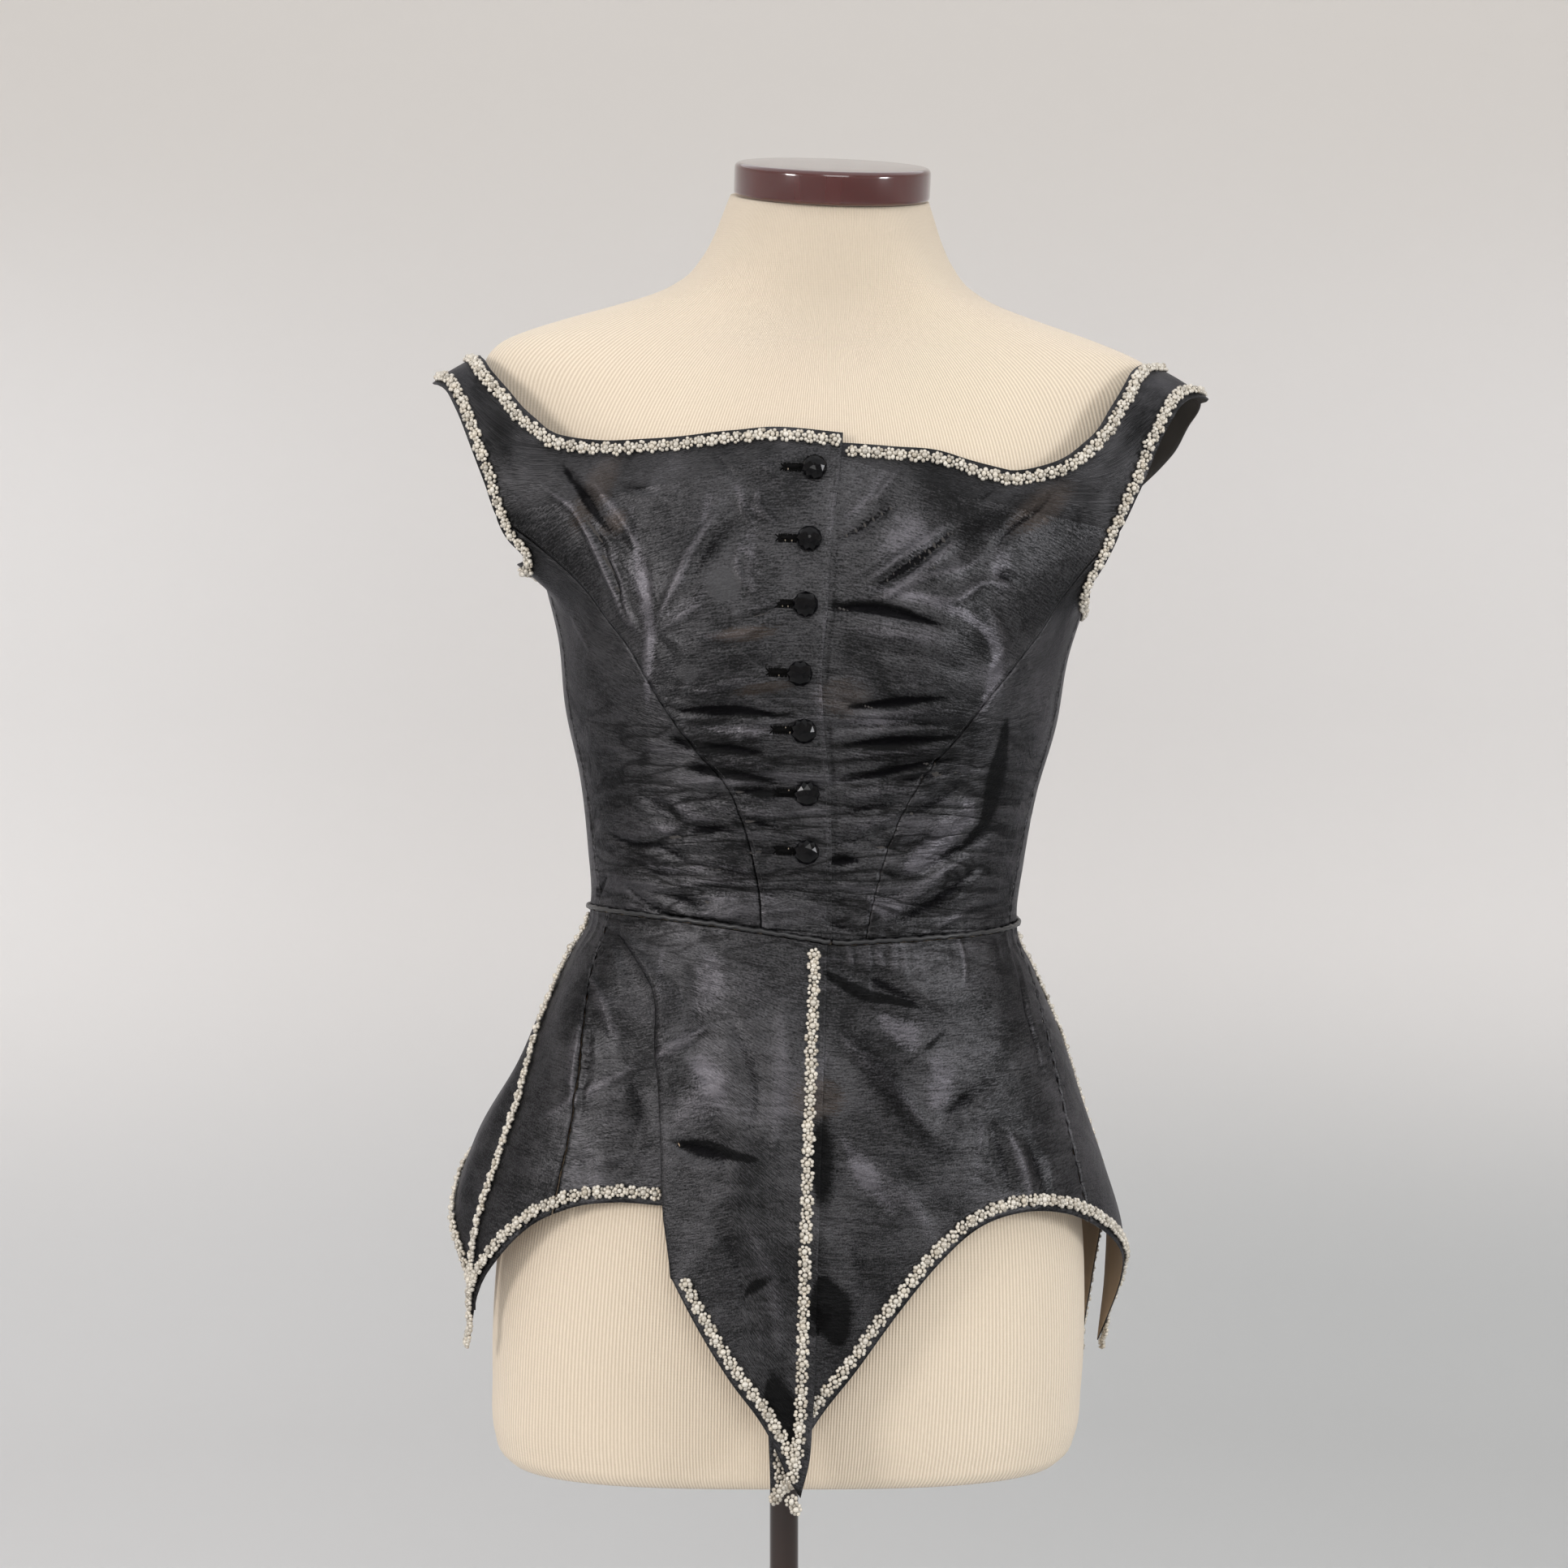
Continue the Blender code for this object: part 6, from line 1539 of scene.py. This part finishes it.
def buttonholes():
    """Worked buttonholes that run from each button towards the wearer's right, with a few pale threads. Each
    slit is a near-black bead, painted shade that stands for the opening.
    """
    rng = np.random.default_rng(5)
    dark, pale, slit_shades = ([], [], []), ([], [], []), ([], [], [])
    for x, h in BUTTONS:
        centre, normal, across, up = button_frame(x, h)
        for group, value in zip(slit_shades, (centre + across * SLIT_OUT + normal * 0.7, across, normal)):
            group.append(value)
        for k in range(SIDE_STITCHES + 2):
            on_side = k < SIDE_STITCHES
            along = FIRST_STITCH + (STITCH_STEP * k if on_side else BAR_STITCH)
            for row in (-1, 1):
                middle = centre + across * along + up * row + normal * (0.8 - 0.0021 * along * along)
                group = pale if rng.random() < WORN_SHARE else dark
                group[0].append(middle)
                group[1].append(up + across * rng.normal(0, 0.15) if on_side else across + up * row)
                group[2].append(normal)
    stitches("buttonhole_slit_shades", *slit_shades, 9.5, 1.3, black_thread_and_slit_shade)
    stitches("buttonhole_threads", *dark, 3.4, 0.42, black_thread_and_slit_shade)
    stitches("buttonhole_pale_threads", *pale, 1.7, 0.3, pale_thread)


# Running stitches: from one to the next, length, radius, how far they lie off the silk, and from the seam.
THREAD_PITCH, THREAD_LENGTH, THREAD_RADIUS, THREAD_RISE, SEAM_ALLOWANCE = 2.3, 1.7, 0.18, 0.25, 2.4


def stitch_line(name, run, distance, lift):
    """A row of stitches on the bodice, beside a seam or an edge."""
    angle, height = np.moveaxis(beside(bodice, run, distance), -1, 0)
    points = lifted(bodice, angle, height, lift(angle, height) + WALL + THREAD_RISE)
    at = resampled(points, THREAD_PITCH)
    ways = along_points(np.gradient(points, axis=0), at)
    outs = along_points(outward(bodice, angle, height), at)
    stitches(name, along_points(points, at), ways, outs, THREAD_LENGTH, THREAD_RADIUS, thread)


def stitching():
    for side, word in SIDES:
        run = princess_line(side)(np.linspace(0.02, 0.995, 120))
        stitch_line(f"princess_stitches_{word}", run, SEAM_ALLOWANCE * side, bodice_lift(side))
        run = side_line(side)(np.linspace(0.02, 0.95, 100))
        stitch_line(f"side_stitches_{word}", run, SEAM_ALLOWANCE * side, plain_lift)
    run = front_lines(-1)[0](np.linspace(0.004, 0.54, 140))
    stitch_line("overlap_stitches", run, 2.2, lap_lift)


def rib_form():
    """The form's knitted cover. It is split at the back, where its ribs meet."""
    heights = [np.linspace(0, 20, 12)[:-1], np.linspace(20, 600, 120)[:-1], np.linspace(600, NECK_TOP, 60)]
    angle, height = np.meshgrid(np.linspace(-180, 180, 181), np.concatenate(heights))
    points = body(angle, height)
    rows, columns = angle.shape
    faces = quads(rows, columns).tolist()
    faces.append(list(range(columns - 1))[::-1])
    faces.append([(rows - 1) * columns + j for j in range(columns - 1)])
    obj = add_mesh("rib_form", points.reshape(-1, 3), faces, [rib_knit], "form_torso")
    give(obj, "rib", np.stack([angle / 360, height, 0 * angle], -1))
    give(obj, "spot", points)


def spun(name, profile, material, steps):
    """A profile of radius and height, in metres, spun round the upright axis."""
    mesh = bpy.data.meshes.new(name)
    mesh.from_pydata([(x, 0, z) for x, z in profile], [(i, i + 1) for i in range(len(profile) - 1)], [])
    mesh.materials.append(material)
    obj = linked(name, mesh)
    screw = obj.modifiers.new("turn", "SCREW")
    screw.steps = screw.render_steps = steps
    screw.use_merge_vertices = True
    screw.merge_threshold = 1e-5
    screw.use_smooth_shade = True
    return obj


def turned(name, profile, material, place_at, node):
    """A turned piece: its profile runs from the top to the bottom, in millimetres."""
    obj = spun(name, [(x * MM, z * MM) for x, z in profile], material, 72)
    edge = obj.modifiers.new("edge", "EDGE_SPLIT")
    edge.split_angle = math.radians(32)
    obj.matrix_world = place_at
    settled(obj, node)


def corner(x, z, radius, quarter, count=5):
    """A quarter round about a centre, from the given quarter turn on, clockwise."""
    turns = np.radians(90 * quarter - np.linspace(0, 90, count))
    return [(x + radius * math.cos(t), z + radius * math.sin(t)) for t in turns]


def stand():
    """The lacquered cap, and the wooden flange, pole, boss and foot, each a little proud of its solid."""
    half = CAP_WIDTH / 2
    top = stood((1.2, 2.0, NECK_TOP + 2.0 * math.tan(CAP_TILT)))
    tilt = Matrix.Rotation(LEAN, 4, "Y") @ Matrix.Rotation(CAP_TILT, 4, "X")
    cap = [(0, CAP_DEEP + 0.9), (0.6 * half, CAP_DEEP + 0.6), *corner(half - 3.4, CAP_DEEP - 3.0, 3.4, 1, 9),
           *corner(half - 2.6, 3.0, 2.6, 0, 9), (0, 0.4)]
    turned("lacquer_cap", cap, lacquer, Matrix.Translation(Vector(top)) @ tilt, "neck_cap")
    half, foot, under = POLE_WIDTH / 2, BASE_WIDTH / 2, TORSO_FLOOR - 20.9
    flange = [(0, -0.4), *corner(33, -1.4, 1, 1), *corner(31, -5, 3, 0), (16, -9), (14, -10),
              *corner(13.4, -19.4, 0.6, 0), (0, -20)]
    pole = [(0, under), (half, under), (half, 62), (0, 62)]
    boss = [(0, 61.6), *corner(15.5, 60.6, 1, 1), (16.5, 50), (18, 46), (22, 42), (28, 38), (33, 34),
            (35, 30), (35, 26), (0, 26)]
    base = [(0, BASE_DEEP + 0.6), (foot - 33, BASE_DEEP + 0.6), (foot - 31, BASE_DEEP), (foot - 27, 20),
            (foot - 24, 18.6), (foot - 9, 18), *corner(foot - 7, 11, 7, 1, 9), (foot, 8), (foot - 0.6, 1),
            (foot - 3, 0), (0, 0)]
    floor = Matrix.Identity(4)
    for name, profile, place, node in (
            ("flange", flange, Matrix.Translation((0, 0, TORSO_FLOOR * MM)), "pole_flange"),
            ("pole", pole, floor, "pole"), ("boss", boss, floor, "pole_boss"),
            ("base", base, floor, "stand_base")):
        turned(f"turned_{name}", profile, wood, place, node)


# Painted light and shade on the paper: its tones on the left and right at the floor as the camera sees them,
# behind the form, high up, and at the sides.
PAPER_PAINTED_LIGHT_LEFT, PAPER_PAINTED_LIGHT_RIGHT, PAPER_PAINTED_LIGHT_MIDDLE = (0.665, 0.665, 0.665), (0.53, 0.54, 0.54), (0.8, 0.78, 0.765)
PAPER_PAINTED_LIGHT_HIGH, PAPER_PAINTED_LIGHT_SIDES = (0.73, 0.7, 0.665), (0.93, 0.915, 0.905)


def backdrop():
    """A pale floor that sweeps up into a wall all round. Its colour is painted light and shade: darker on the
    floor and to the right, lighter behind the form and lighter still beside it, and a little darker high up.
    """
    reach, bend, rise, floor = 4.4, 1.3, 4.6, -0.0005
    turns = np.linspace(0, math.pi / 2, 14)
    profile = [(0, floor), (2.0, floor)]
    profile += [(reach - bend + bend * math.sin(t), bend - bend * math.cos(t)) for t in turns]
    profile.append((reach, rise))
    paper = Finish("paper", Roughness=0.9)
    place = paper.node("TexCoord").outputs["Object"]
    parts = paper.node("SeparateXYZ", Vector=place).outputs
    x, z = paper.value(parts["X"]), paper.value(parts["Z"])
    middle = z.within(0.2, 1.0) * z.within(2.6, 1.6)
    beside_form = x.within(-0.5, -2.0) * 0.75 + x.within(0.6, 2.0) * 0.4
    colour = paper.mix(x.within(-1.6, 1.2), PAPER_PAINTED_LIGHT_LEFT, PAPER_PAINTED_LIGHT_RIGHT)
    for amount, shade in ((z.within(0.1, 0.9), PAPER_PAINTED_LIGHT_MIDDLE), (z.within(1.7, 2.9), PAPER_PAINTED_LIGHT_HIGH),
                          (beside_form * middle, PAPER_PAINTED_LIGHT_SIDES)):
        colour = paper.mix(amount, colour, shade)
    paper.set("Base_Color", colour)
    spun("sweep", profile, paper.material, 96)


# Soft lights: place, what it points at, width, height (metres), watts, colour.
LIGHTS = [
    ((-1.75, -1.55, 1.6), (0, 0, 1.1), 0.45, 0.7, 21, (1.0, 0.97, 0.96)),
    ((2.1, -1.2, 1.55), (0, 0, 1.1), 0.45, 0.7, 19, (0.97, 0.98, 1.0)),
    ((0.2, -2.5, 2.1), (0, 0, 1.1), 1.2, 1.0, 16, (1, 1, 1)),
]
ROOM_COLOUR, ROOM_STRENGTH = (0.86, 0.86, 0.87, 1), 1.3


def lights():
    """Soft lamps on both sides and above, in a pale room."""
    for number, (place, aim, wide, tall, watts, colour) in enumerate(LIGHTS, 1):
        light = bpy.data.lights.new(f"soft_{number}", "AREA")
        light.shape = "RECTANGLE"
        light.size, light.size_y = wide, tall
        light.energy = watts
        light.color = colour
        obj = linked(light.name, light)
        obj.location = place
        obj.rotation_euler = (Vector(aim) - Vector(place)).to_track_quat("-Z", "Y").to_euler()
    world = bpy.data.worlds.new("room")
    world.use_nodes = True
    background = world.node_tree.nodes["Background"].inputs
    background["Color"].default_value = ROOM_COLOUR
    background["Strength"].default_value = ROOM_STRENGTH
    bpy.context.scene.world = world


def camera():
    """The photo's view: level, from the front."""
    lens = bpy.data.cameras.new("front")
    lens.sensor_width = 36
    lens.lens = 18 / math.tan(FIELD / 2)
    obj = linked("front", lens)
    obj.location = EYE
    obj.rotation_euler = (math.radians(90), 0, 0)
    bpy.context.scene.camera = obj
    bpy.context.scene.view_settings.view_transform = "Standard"


def main():
    for side, word in SIDES:
        bodice_front(side, word)
        bodice_sides(side, word)
        bodice_back(side, word)
    peplum_panels()
    bodice_trim()
    peplum_trim()
    piping()
    buttons()
    buttonholes()
    stitching()
    rib_form()
    stand()
    backdrop()
    lights()
    camera()


main()
